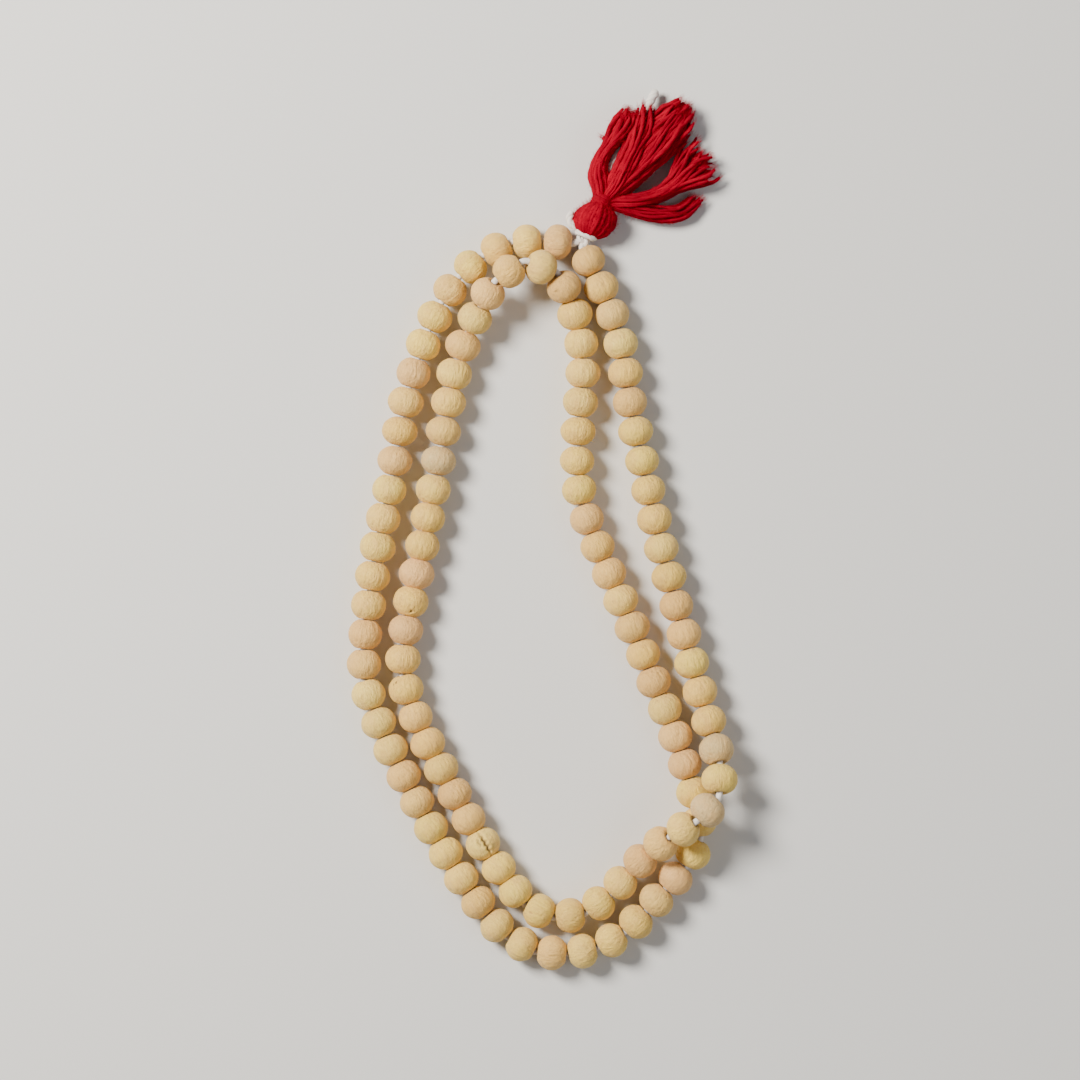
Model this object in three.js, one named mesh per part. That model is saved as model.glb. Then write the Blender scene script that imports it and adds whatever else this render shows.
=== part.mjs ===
// Mala prayer beads: one long loop of turned wooden beads on a cotton cord, laid doubled on a table,
// with a red wool tassel where the cord's two ends meet. Millimetres, +Z up, +Y towards the tassel.
import * as THREE from 'three';
import { mergeVertices } from 'three/addons/utils/BufferGeometryUtils.js';

// ---- driving dimensions ----
const BEAD_DIAMETER = 8.0;
const BEAD_LENGTH = 6.2;
const BEAD_BAND = 1.4; // length of the bead's cylindrical middle
const BEAD_FACE_DIAMETER = 2.8; // of the flat round the bore's mouth
const BORE_DIAMETER = 2.2;
const CORD_DIAMETER = 1.6;
const GAP = 0.3; // left between pieces that touch on the real string
const FOLD_ROW_SLACK = 0.25; // extra room for a bead that stands between two folds
const HEAD_LENGTH = 8.0; // from the tassel's foot to the middle of its neck
const HEAD_DIAMETER = 9.0;
const FOOT_DIAMETER = 3.0;
const FOOT_LENGTH = 1.4;
const NECK_DIAMETER = 3.0;
const NECK_LENGTH = 1.6;
const FLARE_DIAMETER = 4.6; // where the yarn spreads again past the neck
const FLARE_LENGTH = 1.6;
const FRINGE_DROP = 0.5; // from the head's axis down to the level that the fringe's lifts count from
const BINDING_DIAMETER = 1.0; // of the yarn wound round the neck
const WRAP_DIAMETER = 1.2; // of the cord wound round the tassel's foot
const KNOT_DIAMETER = 2.6;
const SIDE_KNOT_DIAMETER = 2.0;
const SIDE_KNOT_STRETCH = 1.4; // its length over its diameter

// ---- the sizes that the listed lie was laid for ----
const LAID_DIAMETER = 8.0;
const LAID_PITCH = 6.5;
const LAID_HEAD_LENGTH = 8.0;
const LAID_CORD_DIAMETER = 1.6;
const LAID_FOLD_TOP = 27.1;
const LAID_FOLD_BOTTOM = 13.6;

// ---- what follows from the sizes ----
const PITCH = BEAD_LENGTH + GAP;
const SPREAD = Math.max(BEAD_DIAMETER / LAID_DIAMETER, PITCH / LAID_PITCH);
const REST = BEAD_DIAMETER / 2;
const ROW_PITCH = PITCH + FOLD_ROW_SLACK;
const FOLD_BOTTOM = LAID_FOLD_TOP - 2 * ROW_PITCH;
const SIDES = 8;
const BUNDLE_STEPS = 10;
const ACROSS_FLATS = 1 / Math.cos(Math.PI / SIDES); // corner radius over flat radius
const HALFWAY = 0.01; // of a pitch: how near a corner is to the middle between two beads to count as there

// ---- finishes ----
const wood = new THREE.MeshStandardMaterial({ color: 0xe3c48b, roughness: 0.62, metalness: 0 });
const cotton = new THREE.MeshStandardMaterial({ color: 0xe9e2d6, roughness: 0.9, metalness: 0 });
const wool = new THREE.MeshStandardMaterial({ color: 0xc4091f, roughness: 0.95, metalness: 0 });

// ---- the lie of the cord: [x, y] on the table, with a third value where a bead is lifted off it ----
// The outer strand above the folds, from the tassel down the left side.
const UPPER_LEFT = [
  [7.2, 66.6], [3.8, 66.9], [-3.2, 67.5], [-10.1, 65.5], [-16.1, 61.6], [-20.7, 56.4], [-24.2, 50.3],
  [-26.9, 43.8], [-29.2, 37.1], [-30.9, 30.5], [-31.7, 27.1],
];
// The outer strand above the folds, from the tassel down the right side.
const UPPER_RIGHT = [
  [9.3, 65.6], [11.1, 62.7], [13.7, 56.7], [16.4, 50.4], [18.4, 43.8], [19.3, 37.1], [20.1, 30.7],
  [20.9, 27.1],
];
// The inner loop's head, from the right fold over to the left one. It rides up on the outer strand.
const UPPER_INNER = [
  [8.6, 27.1], [9.2, 31.2], [9.7, 37.4, 0.02], [9.3, 44.0, 0.1], [7.6, 50.8, 0.9],
  [5.4, 57.2, 3.1], [1.9, 61.0, 5.1], [-3.0, 62.2, 6.2], [-8.2, 60.0, 6.1], [-11.9, 55.3, 5.0],
  [-14.4, 50.8, 2.4], [-17.0, 45.5, 0.3], [-19.2, 39.6], [-20.6, 33.7], [-21.7, 27.1],
];
// The outer strand below the folds: down the left, round the foot and up the right under the crossing.
const LOWER_OUTER = [
  [-34.0, 13.6], [-35.0, 8.9], [-37.5, -3.4], [-39.6, -17.3], [-40.6, -30.6], [-39.4, -37.2],
  [-36.8, -43.6], [-34.1, -49.9], [-30.9, -56.0], [-24.6, -68.0], [-17.3, -79.9], [-13.0, -85.9],
  [-8.4, -91.2], [-2.1, -94.9], [4.9, -95.8], [12.0, -94.7], [18.3, -91.5], [23.3, -86.8],
  [28.1, -81.4], [32.9, -76.1], [36.2, -70.6], [36.1, -64.0], [34.6, -57.7], [32.5, -51.6],
  [30.6, -45.5], [25.4, -32.7], [20.5, -20.1], [15.3, -8.2], [10.2, 4.0], [8.6, 9.9], [8.1, 13.6],
];
// The inner strand below the folds: down the left, round the foot and up on to the crossing.
const LOWER_INNER = [
  [-24.0, 13.6], [-24.9, 8.9], [-27.6, -4.8], [-30.3, -18.0], [-31.3, -24.2], [-31.8, -30.8],
  [-30.3, -37.3], [-27.8, -43.7], [-21.3, -56.2], [-14.6, -68.3], [-11.0, -74.2], [-6.9, -79.9],
  [-2.4, -85.5], [5.3, -87.6], [12.8, -85.0], [17.8, -79.8, 0.1], [22.4, -74.4, 0.8], [26.8, -70.3, 3.9],
  [31.6, -66.8, 8.3], [36.8, -63.6, 8.6], [40.0, -60.0, 8.0],
];
// The last stretch of the same strand, from the right fold down to the crossing.
const LOWER_RIGHT = [
  [23.8, 13.6], [24.9, 8.2], [27.1, -1.4], [30.4, -14.0], [33.8, -27.0], [35.7, -33.6, 0.1],
  [37.7, -40.5, 0.6], [39.7, -47.6, 2.9], [40.9, -54.9, 6.2], [40.4, -58.6, 7.2],
];
// The cord's tail from inside the tassel's head out between the fringe's bundles.
const TAIL = [
  [14.8, 79.0, 0.6], [15.3, 81.4, 0.8], [15.9, 84.0, 1.0], [17.2, 86.8, 1.0], [19.0, 89.6, 0.9],
  [21.3, 92.9, 0.5], [23.3, 96.2], [25.0, 99.2, -0.8], [26.3, 101.6, -1.8],
];

/** A listed point as a place in space: the lie opens out from the folds when the beads are bigger. */
function lay([x, y, lift = 0]) {
  const above = y > LAID_FOLD_BOTTOM + GAP;
  const from = above ? LAID_FOLD_TOP : LAID_FOLD_BOTTOM;
  const to = above ? LAID_FOLD_TOP : FOLD_BOTTOM;
  return new THREE.Vector3(x * SPREAD, to + (y - from) * SPREAD, REST + lift * SPREAD);
}

/** A geometry as a closed body: shared corners merged, faces turned out. */
function closed(geometry) {
  const bare = geometry.clone();
  bare.deleteAttribute('normal');
  bare.deleteAttribute('uv');
  const merged = mergeVertices(bare, 1e-4);
  const p = merged.attributes.position;
  const index = merged.index.array;
  const kept = [];
  const [a, b, c] = [new THREE.Vector3(), new THREE.Vector3(), new THREE.Vector3()];
  let volume = 0;
  for (let i = 0; i < index.length; i += 3) {
    const [u, v, w] = index.slice(i, i + 3);
    if (u === v || v === w || w === u) continue;
    kept.push([u, v, w]);
    b.fromBufferAttribute(p, v).cross(c.fromBufferAttribute(p, w));
    volume += a.fromBufferAttribute(p, u).dot(b);
  }
  merged.setIndex(kept.flatMap(([u, v, w]) => (volume > 0 ? [u, v, w] : [u, w, v])));
  return merged;
}

/** A placement whose Y runs along `along`, whose Z is as near upright as that allows. */
function aim(at, along) {
  const y = along.clone().normalize();
  const z = new THREE.Vector3(0, 0, 1).addScaledVector(y, -y.z).normalize();
  return new THREE.Matrix4().makeBasis(new THREE.Vector3().crossVectors(y, z), y, z).setPosition(at);
}

/** A turned body about Y from a closed outline of [radius, y], its radii measured to the flats. */
function turned(outline) {
  const points = outline.map(([r, y]) => new THREE.Vector2(r * ACROSS_FLATS, y));
  return closed(new THREE.LatheGeometry(points, SIDES).rotateY(Math.PI / SIDES));
}

// A bead's outline from its middle to one face, as [radius, y].
const BEAD_HALF_OUTLINE = [
  [BEAD_DIAMETER / 2, BEAD_BAND / 2],
  [BEAD_DIAMETER * 0.42, BEAD_LENGTH * 0.34],
  [BEAD_FACE_DIAMETER / 2, BEAD_LENGTH / 2],
];

/**
 * Beads in one body with a bore, turned straight about Y and then laid bead by bead on the cord. The
 * neck round the bore joins each bead to the next, and follows the two of them where they turn.
 */
function beadRun(beads) {
  const bore = BORE_DIAMETER / 2;
  const face = BEAD_LENGTH / 2;
  const middles = beads.map((_, i) => i * PITCH);
  const outline = [[bore, -face]];
  for (const middle of middles) {
    outline.push(...BEAD_HALF_OUTLINE.toReversed().map(([r, y]) => [r, middle - y]));
    outline.push(...BEAD_HALF_OUTLINE.map(([r, y]) => [r, middle + y]));
  }
  outline.push([bore, middles.at(-1) + face]);
  for (const middle of middles.slice(1).toReversed()) outline.push([bore, middle - PITCH / 2]);
  outline.push([bore, -face]);
  const geometry = turned(outline);
  const places = beads.map(({ at, along }) => aim(at, along));
  const { position } = geometry.attributes;
  for (let v = 0; v < position.count; v += 1) {
    const straight = new THREE.Vector3().fromBufferAttribute(position, v);
    const station = straight.y / PITCH;
    // A corner of the bore half-way between two beads belongs to both.
    const [before, after] = [station - HALFWAY, station + HALFWAY].map((place) => {
      const i = Math.round(place);
      return straight.clone().setY(straight.y - middles[i]).applyMatrix4(places[i]);
    });
    position.setXYZ(v, ...before.lerp(after, 0.5));
  }
  return geometry;
}

/** How far a bead's middle stands from a corner of the cord where the line turns by `bend` radians. */
function reach(bend) {
  const rise = Math.tan(bend / 2) * ACROSS_FLATS;
  return Math.max(...BEAD_HALF_OUTLINE.map(([r, y]) => y + r * rise));
}

/** The bends at the corners of a line of points. The two ends have none. */
function bends(points) {
  return points.map((p, i) => {
    if (i === 0 || i === points.length - 1) return 0;
    const before = p.clone().sub(points[i - 1]);
    return before.angleTo(points[i + 1].clone().sub(p));
  });
}

/**
 * Beads on a stretch of cord. The cord runs straight through each bead and turns between beads, so the
 * stretch is a line of corners; a bead needs its own length, the gap, and more where the line turns.
 * As many beads go on as the stretch takes, and what is left over is spread along the gaps.
 */
function threaded(name, lie, runs) {
  const curve = new THREE.CatmullRomCurve3(lie.map(lay), false, 'centripetal');
  curve.arcLengthDivisions = 2000;
  const total = curve.getLength();
  let corners = [];
  for (let count = Math.floor(total / PITCH), spare = -1; count > 0 && spare < 0; count -= 1) {
    let steps = Array(count).fill(total / count);
    for (let pass = 0; pass < 30; pass += 1) {
      corners = cornersOn(curve, steps, total);
      const turn = bends(corners);
      const chord = corners.slice(1).map((p, i) => p.distanceTo(corners[i]));
      const needed = steps.map((s, i) => (s * (reach(turn[i]) + reach(turn[i + 1]) + GAP)) / chord[i]);
      spare = total - needed.reduce((sum, s) => sum + s, 0);
      steps = needed.map((s) => s + spare / count);
    }
  }
  const turn = bends(corners);
  const beads = corners.slice(1).map((end, i) => {
    const start = corners[i];
    const spare = end.distanceTo(start) - reach(turn[i]) - reach(turn[i + 1]);
    const along = end.clone().sub(start).normalize();
    return { at: start.clone().addScaledVector(along, reach(turn[i]) + spare / 2), along, start, end };
  });
  return { name, corners, beads, runs };
}

/** The points that lie at the summed steps along a curve, which start at its first point. */
function cornersOn(curve, steps, total) {
  const places = [0];
  for (const step of steps) places.push(places.at(-1) + step);
  return places.map((s) => curve.getPointAt(Math.min(s / total, 1)));
}

/** A line of straight pieces that an extrusion follows corner by corner. */
class CornerPath extends THREE.Curve {
  constructor(points) {
    super();
    this.points = points;
  }

  getPointAt(u) {
    const place = u * (this.points.length - 1);
    const i = Math.min(Math.floor(place + 1e-9), this.points.length - 2);
    return this.points[i].clone().lerp(this.points[i + 1], place - i);
  }

  getTangentAt(u) {
    const i = Math.round(u * (this.points.length - 1));
    const before = this.points[Math.max(i - 1, 0)];
    const after = this.points[Math.min(i + 1, this.points.length - 1)];
    return after.clone().sub(before).normalize();
  }
}

/** A plain round tube through the points, shortened at both ends. */
function tube(points, diameter, shorten = GAP / 2) {
  const line = points.map((p) => p.clone());
  trim(line, 0, 1, shorten);
  trim(line, line.length - 1, line.length - 2, shorten);
  const section = new THREE.Shape();
  for (let i = 0; i < SIDES; i += 1) {
    const angle = ((i + 0.5) * 2 * Math.PI) / SIDES;
    const [x, y] = [(diameter / 2) * Math.cos(angle), (diameter / 2) * Math.sin(angle)];
    if (i === 0) section.moveTo(x, y);
    else section.lineTo(x, y);
  }
  const options = { steps: line.length - 1, bevelEnabled: false, extrudePath: new CornerPath(line) };
  return closed(new THREE.ExtrudeGeometry(section, options));
}

/** Moves the end of a line towards its neighbour. */
function trim(line, end, next, by) {
  line[end].addScaledVector(line[next].clone().sub(line[end]).normalize(), by);
}

/** A bundle of yarn: flat rings of [width, height] along a smooth line, closed at both ends. */
function bundle(points, sections) {
  const curve = new THREE.CatmullRomCurve3(points);
  const steps = BUNDLE_STEPS;
  const position = [];
  const index = [];
  for (let i = 0; i <= steps; i += 1) {
    const at = curve.getPointAt(i / steps);
    const place = aim(at, curve.getTangentAt(i / steps));
    const part = (i / steps) * (sections.length - 1);
    const k = Math.min(Math.floor(part), sections.length - 2);
    const next = sections[k + 1];
    const [width, height] = sections[k].map((size, n) => THREE.MathUtils.lerp(size, next[n], part - k));
    for (let j = 0; j < SIDES; j += 1) {
      const angle = ((j + 0.5) * 2 * Math.PI) / SIDES;
      const rim = new THREE.Vector3((width / 2) * Math.cos(angle), 0, (height / 2) * Math.sin(angle));
      position.push(...rim.applyMatrix4(place));
    }
  }
  for (let i = 0; i < steps; i += 1) {
    for (let j = 0; j < SIDES; j += 1) {
      const [a, b] = [i * SIDES + j, i * SIDES + ((j + 1) % SIDES)];
      index.push(a, b, a + SIDES, b, b + SIDES, a + SIDES);
    }
  }
  const last = steps * SIDES;
  for (let j = 1; j < SIDES - 1; j += 1) {
    index.push(0, j + 1, j, last, last + j, last + j + 1);
  }
  const geometry = new THREE.BufferGeometry();
  geometry.setAttribute('position', new THREE.Float32BufferAttribute(position, 3));
  geometry.setIndex(index);
  return closed(geometry);
}

/** A ring of cord about Y. */
function ring(radius, thickness) {
  const outline = [];
  for (let i = 0; i <= 6; i += 1) {
    const angle = (i * Math.PI) / 3;
    outline.push([radius + (thickness / 2) * Math.cos(angle), (thickness / 2) * Math.sin(angle)]);
  }
  return turned(outline);
}

const mala = new THREE.Group();
mala.name = 'mala';

/** Adds one named piece to the model. */
function add(name, geometry, material, matrix = new THREE.Matrix4()) {
  const mesh = new THREE.Mesh(geometry, material);
  mesh.name = name;
  mesh.applyMatrix4(matrix);
  mala.add(mesh);
}

// ---- strung beads ----
const strands = [
  threaded('upper_left', UPPER_LEFT.toReversed(), [4, 4, 1]),
  threaded('upper_right', UPPER_RIGHT.toReversed(), [4, 1, 1]),
  threaded('upper_inner', UPPER_INNER, [4, 1, 1, 1, 1, 4]),
  threaded('lower_outer', LOWER_OUTER, [7, 1, 7, 1, 7, 1, 7, 1, 6]),
  threaded('lower_inner', LOWER_INNER, [8, 1, 6, 1, 8]),
  threaded('lower_right', LOWER_RIGHT, [5, 6]),
];

/** Adds a strand's beads: `runs` says how many beads share each node, in order along the strand. */
function addBeads({ name, beads, runs }) {
  const share = beads.length / runs.reduce((sum, n) => sum + n, 0);
  let first = 0;
  let laid = 0;
  runs.forEach((size, k) => {
    laid += size;
    const nodesToCome = runs.length - k - 1; // each still needs a bead
    const last = Math.min(Math.max(Math.round(laid * share) - 1, first), beads.length - 1 - nodesToCome);
    const label = last > first ? 'run' : 'bead';
    add(`${name}_${label}_${k + 1}`, beadRun(beads.slice(first, last + 1)), wood);
    first = last + 1;
  });
}
strands.forEach(addBeads);

// ---- rows of beads between the folds ----
const FOLD_ENDS = [
  ['outer_left', UPPER_LEFT.at(-1), LOWER_OUTER[0]],
  ['inner_left', UPPER_INNER.at(-1), LOWER_INNER[0]],
  ['inner_right', UPPER_INNER[0], LOWER_OUTER.at(-1)],
  ['outer_right', UPPER_RIGHT.at(-1), LOWER_RIGHT[0]],
];
for (const [side, upper, lower] of FOLD_ENDS) {
  const [top, bottom] = [lay(upper), lay(lower)];
  const middle = top.clone().lerp(bottom, 0.5);
  for (const [row, start, end] of [['upper', top, middle], ['lower', middle, bottom]]) {
    const bead = { at: start.clone().lerp(end, 0.5), along: end.clone().sub(start) };
    add(`fold_${row}_bead_${side}`, beadRun([bead]), wood);
    add(`fold_${row}_cord_${side}`, tube([start, end], CORD_DIAMETER), cotton);
  }
}

// ---- stringing cord, from fold to fold and from fold to tassel ----
const byName = Object.fromEntries(strands.map((strand) => [strand.name, strand.corners]));
const slack = [byName.lower_inner.at(-1), byName.lower_right.at(-1)];
const bridge = slack[0].clone().lerp(slack[1], 0.5);
add('cord_lower_outer', tube(byName.lower_outer, CORD_DIAMETER), cotton);
const innerLine = [...byName.lower_inner, bridge, ...byName.lower_right.toReversed()];
add('cord_lower_inner', tube(innerLine, CORD_DIAMETER), cotton);
add('cord_upper_inner', tube(byName.upper_inner, CORD_DIAMETER), cotton);

// ---- tassel ----
const KNOT = lay([9.8, 67.5]);
const FOOT_POINT = [11.0, 68.9];
const TASSEL_FOOT = lay(FOOT_POINT);
const TASSEL_ALONG = new THREE.Vector3(0.37, 0.93, 0).normalize();

/** A place beside the tassel's axis: so far from its foot, to its right, and up. */
function onTassel(along, across = 0, up = 0) {
  const right = new THREE.Vector3(TASSEL_ALONG.y, -TASSEL_ALONG.x, 0);
  return TASSEL_FOOT.clone().addScaledVector(TASSEL_ALONG, along).addScaledVector(right, across)
    .setZ(HEAD_DIAMETER / 2 + up);
}

/** A listed point past the neck: it keeps its place from the foot, and moves along with a longer head. */
function pastNeck([x, y, lift = 0]) {
  const fromFoot = new THREE.Vector3(x - FOOT_POINT[0], y - FOOT_POINT[1], 0);
  return fromFoot.add(onTassel(HEAD_LENGTH - LAID_HEAD_LENGTH, 0, lift - FRINGE_DROP));
}

/** A small knot of cord: a plain ball, drawn out along the tassel by `stretch`. */
function knot(diameter, stretch) {
  return closed(new THREE.SphereGeometry(diameter / 2, SIDES, 6).scale(1, stretch, 1));
}

/** The strung cord's last stretch, from a strand's end to the face of the knot. */
function toKnot(corners) {
  const side = corners.at(-1).clone().sub(KNOT).setLength(KNOT_DIAMETER / 2 + GAP / 2);
  return tube([...corners, KNOT.clone().add(side)], CORD_DIAMETER);
}
add('cord_upper_left', toKnot(byName.upper_left), cotton);
add('cord_upper_right', toKnot(byName.upper_right), cotton);
add('string_knot', knot(KNOT_DIAMETER, 1), cotton, aim(KNOT, TASSEL_ALONG));

const bore = BORE_DIAMETER / 2;
const neckStart = HEAD_LENGTH - NECK_LENGTH / 2;
const neckEnd = HEAD_LENGTH + NECK_LENGTH / 2;
const headOutline = [
  [bore, 0],
  [FOOT_DIAMETER / 2, 0],
  [FOOT_DIAMETER / 2, FOOT_LENGTH],
  [HEAD_DIAMETER * 0.42, FOOT_LENGTH + HEAD_LENGTH * 0.14],
  [HEAD_DIAMETER / 2, HEAD_LENGTH * 0.52],
  [HEAD_DIAMETER * 0.42, HEAD_LENGTH * 0.74],
  [NECK_DIAMETER / 2, neckStart],
  [NECK_DIAMETER / 2, neckEnd],
  [FLARE_DIAMETER / 2, neckEnd + FLARE_LENGTH / 2],
  [FLARE_DIAMETER / 2, neckEnd + FLARE_LENGTH],
  [bore, neckEnd + FLARE_LENGTH],
  [bore, 0],
];
add('tassel_head', turned(headOutline), wool, aim(onTassel(0), TASSEL_ALONG));
const clearOf = (diameter, thickness) => (diameter / 2) * ACROSS_FLATS + GAP + thickness / 2;
const bindingRadius = clearOf(NECK_DIAMETER, BINDING_DIAMETER);
add('neck_binding', ring(bindingRadius, BINDING_DIAMETER), wool, aim(onTassel(HEAD_LENGTH), TASSEL_ALONG));
const wrapRadius = clearOf(FOOT_DIAMETER, WRAP_DIAMETER);
add('foot_wrap', ring(wrapRadius, WRAP_DIAMETER), cotton, aim(onTassel(FOOT_LENGTH / 2), TASSEL_ALONG));
const sideKnotAt = onTassel(FOOT_LENGTH, -(HEAD_DIAMETER + SIDE_KNOT_DIAMETER) / 2);
add('side_knot', knot(SIDE_KNOT_DIAMETER, SIDE_KNOT_STRETCH), cotton, aim(sideKnotAt, TASSEL_ALONG));

// The tail starts inside the head's foot and leaves through the flare.
const tailLine = [onTassel(0.4), onTassel(HEAD_LENGTH / 2), onTassel(neckEnd), ...TAIL.map(pastNeck)];
add('tail_cord', tube(tailLine, CORD_DIAMETER), cotton);

// Each bundle of the fringe: where it lies, and its [width, height] from root to tip.
const FRINGE = {
  fringe_left: {
    lie: [
      [12.7, 80.5], [12.8, 83.4, 0.3], [13.9, 86.6, 0.4], [16.2, 90.0, 0.2], [18.8, 93.4],
      [20.6, 95.9, -0.6],
    ],
    sections: [[2.0, 3.0], [3.4, 4.8], [3.6, 5.4], [3.6, 5.0], [3.2, 4.0], [2.4, 3.0]],
  },
  fringe_crown: {
    lie: [
      [17.4, 80.4], [18.0, 83.0, 0.3], [19.2, 85.7, 0.4], [21.2, 88.6, 0.2], [23.6, 91.9],
      [25.4, 94.9, -0.6],
    ],
    sections: [[1.6, 2.6], [2.2, 4.0], [2.4, 4.8], [2.6, 4.4], [2.6, 3.6], [2.0, 2.6]],
  },
  fringe_upper: {
    lie: [
      [18.9, 79.6], [21.9, 82.4], [24.8, 85.6], [27.8, 89.3], [30.6, 93.2], [32.9, 96.4, -0.6],
      [34.4, 98.5, -1.2],
    ],
    sections: [[1.6, 2.6], [3.0, 4.4], [4.6, 5.6], [5.6, 6.0], [5.2, 5.2], [3.6, 4.0], [1.4, 2.0]],
  },
  fringe_right: {
    lie: [
      [18.6, 77.5], [22.4, 77.4], [26.6, 78.6, -0.2], [30.4, 81.2, -0.4], [33.4, 84.0, -0.8],
      [36.4, 86.2, -1.2], [38.8, 87.4, -1.4],
    ],
    sections: [[1.8, 3.0], [2.6, 4.0], [3.6, 4.4], [4.6, 4.4], [6.0, 4.0], [7.4, 3.4], [7.0, 2.6]],
  },
  fringe_lower: {
    lie: [
      [18.2, 74.9, -0.4], [22.4, 73.8, -0.8], [27.0, 73.2, -1.2], [31.6, 73.9, -1.6],
      [34.4, 76.0, -2.0], [36.7, 78.0, -2.2],
    ],
    sections: [[1.8, 2.6], [2.2, 3.0], [2.6, 3.0], [2.4, 2.6], [2.0, 2.2], [1.4, 1.8]],
  },
};
// The bundles part for a thicker tail.
for (const [name, { lie, sections }] of Object.entries(FRINGE)) {
  const side = name === 'fringe_left' ? -1 : 1;
  const parted = onTassel(0, side * (CORD_DIAMETER - LAID_CORD_DIAMETER)).sub(onTassel(0));
  add(name, bundle(lie.map((point) => pastNeck(point).add(parted)), sections), wool);
}

export default mala;
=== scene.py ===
"""Builds the looks of a string of wooden prayer beads with a red wool tassel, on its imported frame.

The string is one long loop laid doubled on a table: turned beads on a cotton cord, with a tassel where
the cord's two ends meet. Every length is in metres, +Z is up and +Y runs towards the tassel.
"""

import logging
import math
from dataclasses import dataclass, field
from enum import Enum

import bpy
import numpy as np

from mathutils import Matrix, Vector


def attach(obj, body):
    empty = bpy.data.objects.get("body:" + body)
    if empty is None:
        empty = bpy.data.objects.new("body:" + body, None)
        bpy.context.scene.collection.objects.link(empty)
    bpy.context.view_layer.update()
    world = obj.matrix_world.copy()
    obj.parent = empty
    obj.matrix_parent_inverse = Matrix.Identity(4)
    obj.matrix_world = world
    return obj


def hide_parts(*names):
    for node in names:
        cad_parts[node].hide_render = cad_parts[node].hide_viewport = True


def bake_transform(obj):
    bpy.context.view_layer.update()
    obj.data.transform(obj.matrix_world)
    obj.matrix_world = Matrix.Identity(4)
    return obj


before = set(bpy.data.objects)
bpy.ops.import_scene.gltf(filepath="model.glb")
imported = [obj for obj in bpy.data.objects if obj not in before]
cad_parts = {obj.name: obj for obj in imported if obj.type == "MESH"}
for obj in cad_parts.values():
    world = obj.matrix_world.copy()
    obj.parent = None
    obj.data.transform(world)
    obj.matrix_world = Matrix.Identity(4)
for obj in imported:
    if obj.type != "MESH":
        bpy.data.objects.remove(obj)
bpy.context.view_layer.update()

Array = np.ndarray
Random = np.random.Generator
Socket = bpy.types.NodeSocket
Colour = tuple[float, float, float, float]
Points = tuple[tuple[float, float, float], ...]

logger = logging.getLogger("mala")

UPRIGHT = np.array((0.0, 0.0, 1.0))
# The turn from one seed of a sunflower to the next, in radians.
GOLDEN_ANGLE = 2.39996

# ---- sizes shared with the frame ----
BEAD_RADIUS = 0.004
BEAD_LENGTH = 0.0062
BEAD_GAP = 0.0003
BEAD_PITCH = BEAD_LENGTH + BEAD_GAP
CORD_DIAMETER = 0.0016
CORD_RADIUS = CORD_DIAMETER / 2
REST = UPRIGHT * BEAD_RADIUS
CORNER_OVER_FLAT = 1.0 / math.cos(math.pi / 8)
# The frame bead's outline, from its middle to a face: radius, then height along the bore.
OUTLINE_RADIUS = np.array((0.004, 0.00336, 0.0014)) * CORNER_OVER_FLAT
OUTLINE_HEIGHT = np.array((0.0007, 0.002108, 0.0031))
# The flat on a bead's end, as a radius: where the next bead presses on it, and where it may tilt away.
PRESSED_FLAT = 0.0019
FREE_FLAT = 0.00145
# How far yarn stays above the table, and how far apart the points of the small windings are.
FLOOR_CLEARANCE = 0.00005
FINE_STEP = 0.0003

# ---- the lie of the cord on the table: x, y, and the lift off the beads' resting height ----
UPPER_LEFT: Points = (
    (0.0072, 0.0666, 0), (0.0038, 0.0669, 0), (-0.0032, 0.0675, 0), (-0.0101, 0.0655, 0),
    (-0.0161, 0.0616, 0), (-0.0207, 0.0564, 0), (-0.0242, 0.0503, 0), (-0.0269, 0.0438, 0),
    (-0.0292, 0.0371, 0), (-0.0309, 0.0305, 0), (-0.0317, 0.0271, 0),
)
UPPER_RIGHT: Points = (
    (0.0093, 0.0656, 0), (0.0111, 0.0627, 0), (0.0137, 0.0567, 0), (0.0164, 0.0504, 0),
    (0.0184, 0.0438, 0), (0.0193, 0.0371, 0), (0.0201, 0.0307, 0), (0.0209, 0.0271, 0),
)
UPPER_INNER: Points = (
    (0.0086, 0.0271, 0), (0.0092, 0.0312, 0), (0.0097, 0.0374, 0.00002), (0.0093, 0.044, 0.0001),
    (0.0076, 0.0508, 0.0009), (0.0054, 0.0572, 0.0031), (0.0019, 0.061, 0.0051),
    (-0.003, 0.0622, 0.0062), (-0.0082, 0.06, 0.0061), (-0.0119, 0.0553, 0.005),
    (-0.0144, 0.0508, 0.0024), (-0.017, 0.0455, 0.0003), (-0.0192, 0.0396, 0),
    (-0.0206, 0.0337, 0), (-0.0217, 0.0271, 0),
)
LOWER_OUTER: Points = (
    (-0.034, 0.0136, 0), (-0.035, 0.0089, 0), (-0.0375, -0.0034, 0), (-0.0396, -0.0173, 0),
    (-0.0406, -0.0306, 0), (-0.0394, -0.0372, 0), (-0.0368, -0.0436, 0), (-0.0341, -0.0499, 0),
    (-0.0309, -0.056, 0), (-0.0246, -0.068, 0), (-0.0173, -0.0799, 0), (-0.013, -0.0859, 0),
    (-0.0084, -0.0912, 0), (-0.0021, -0.0949, 0), (0.0049, -0.0958, 0), (0.012, -0.0947, 0),
    (0.0183, -0.0915, 0), (0.0233, -0.0868, 0), (0.0281, -0.0814, 0), (0.0329, -0.0761, 0),
    (0.0362, -0.0706, 0), (0.0361, -0.064, 0), (0.0346, -0.0577, 0), (0.0325, -0.0516, 0),
    (0.0306, -0.0455, 0), (0.0254, -0.0327, 0), (0.0205, -0.0201, 0), (0.0153, -0.0082, 0),
    (0.0102, 0.004, 0), (0.0086, 0.0099, 0), (0.0081, 0.0136, 0),
)
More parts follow.
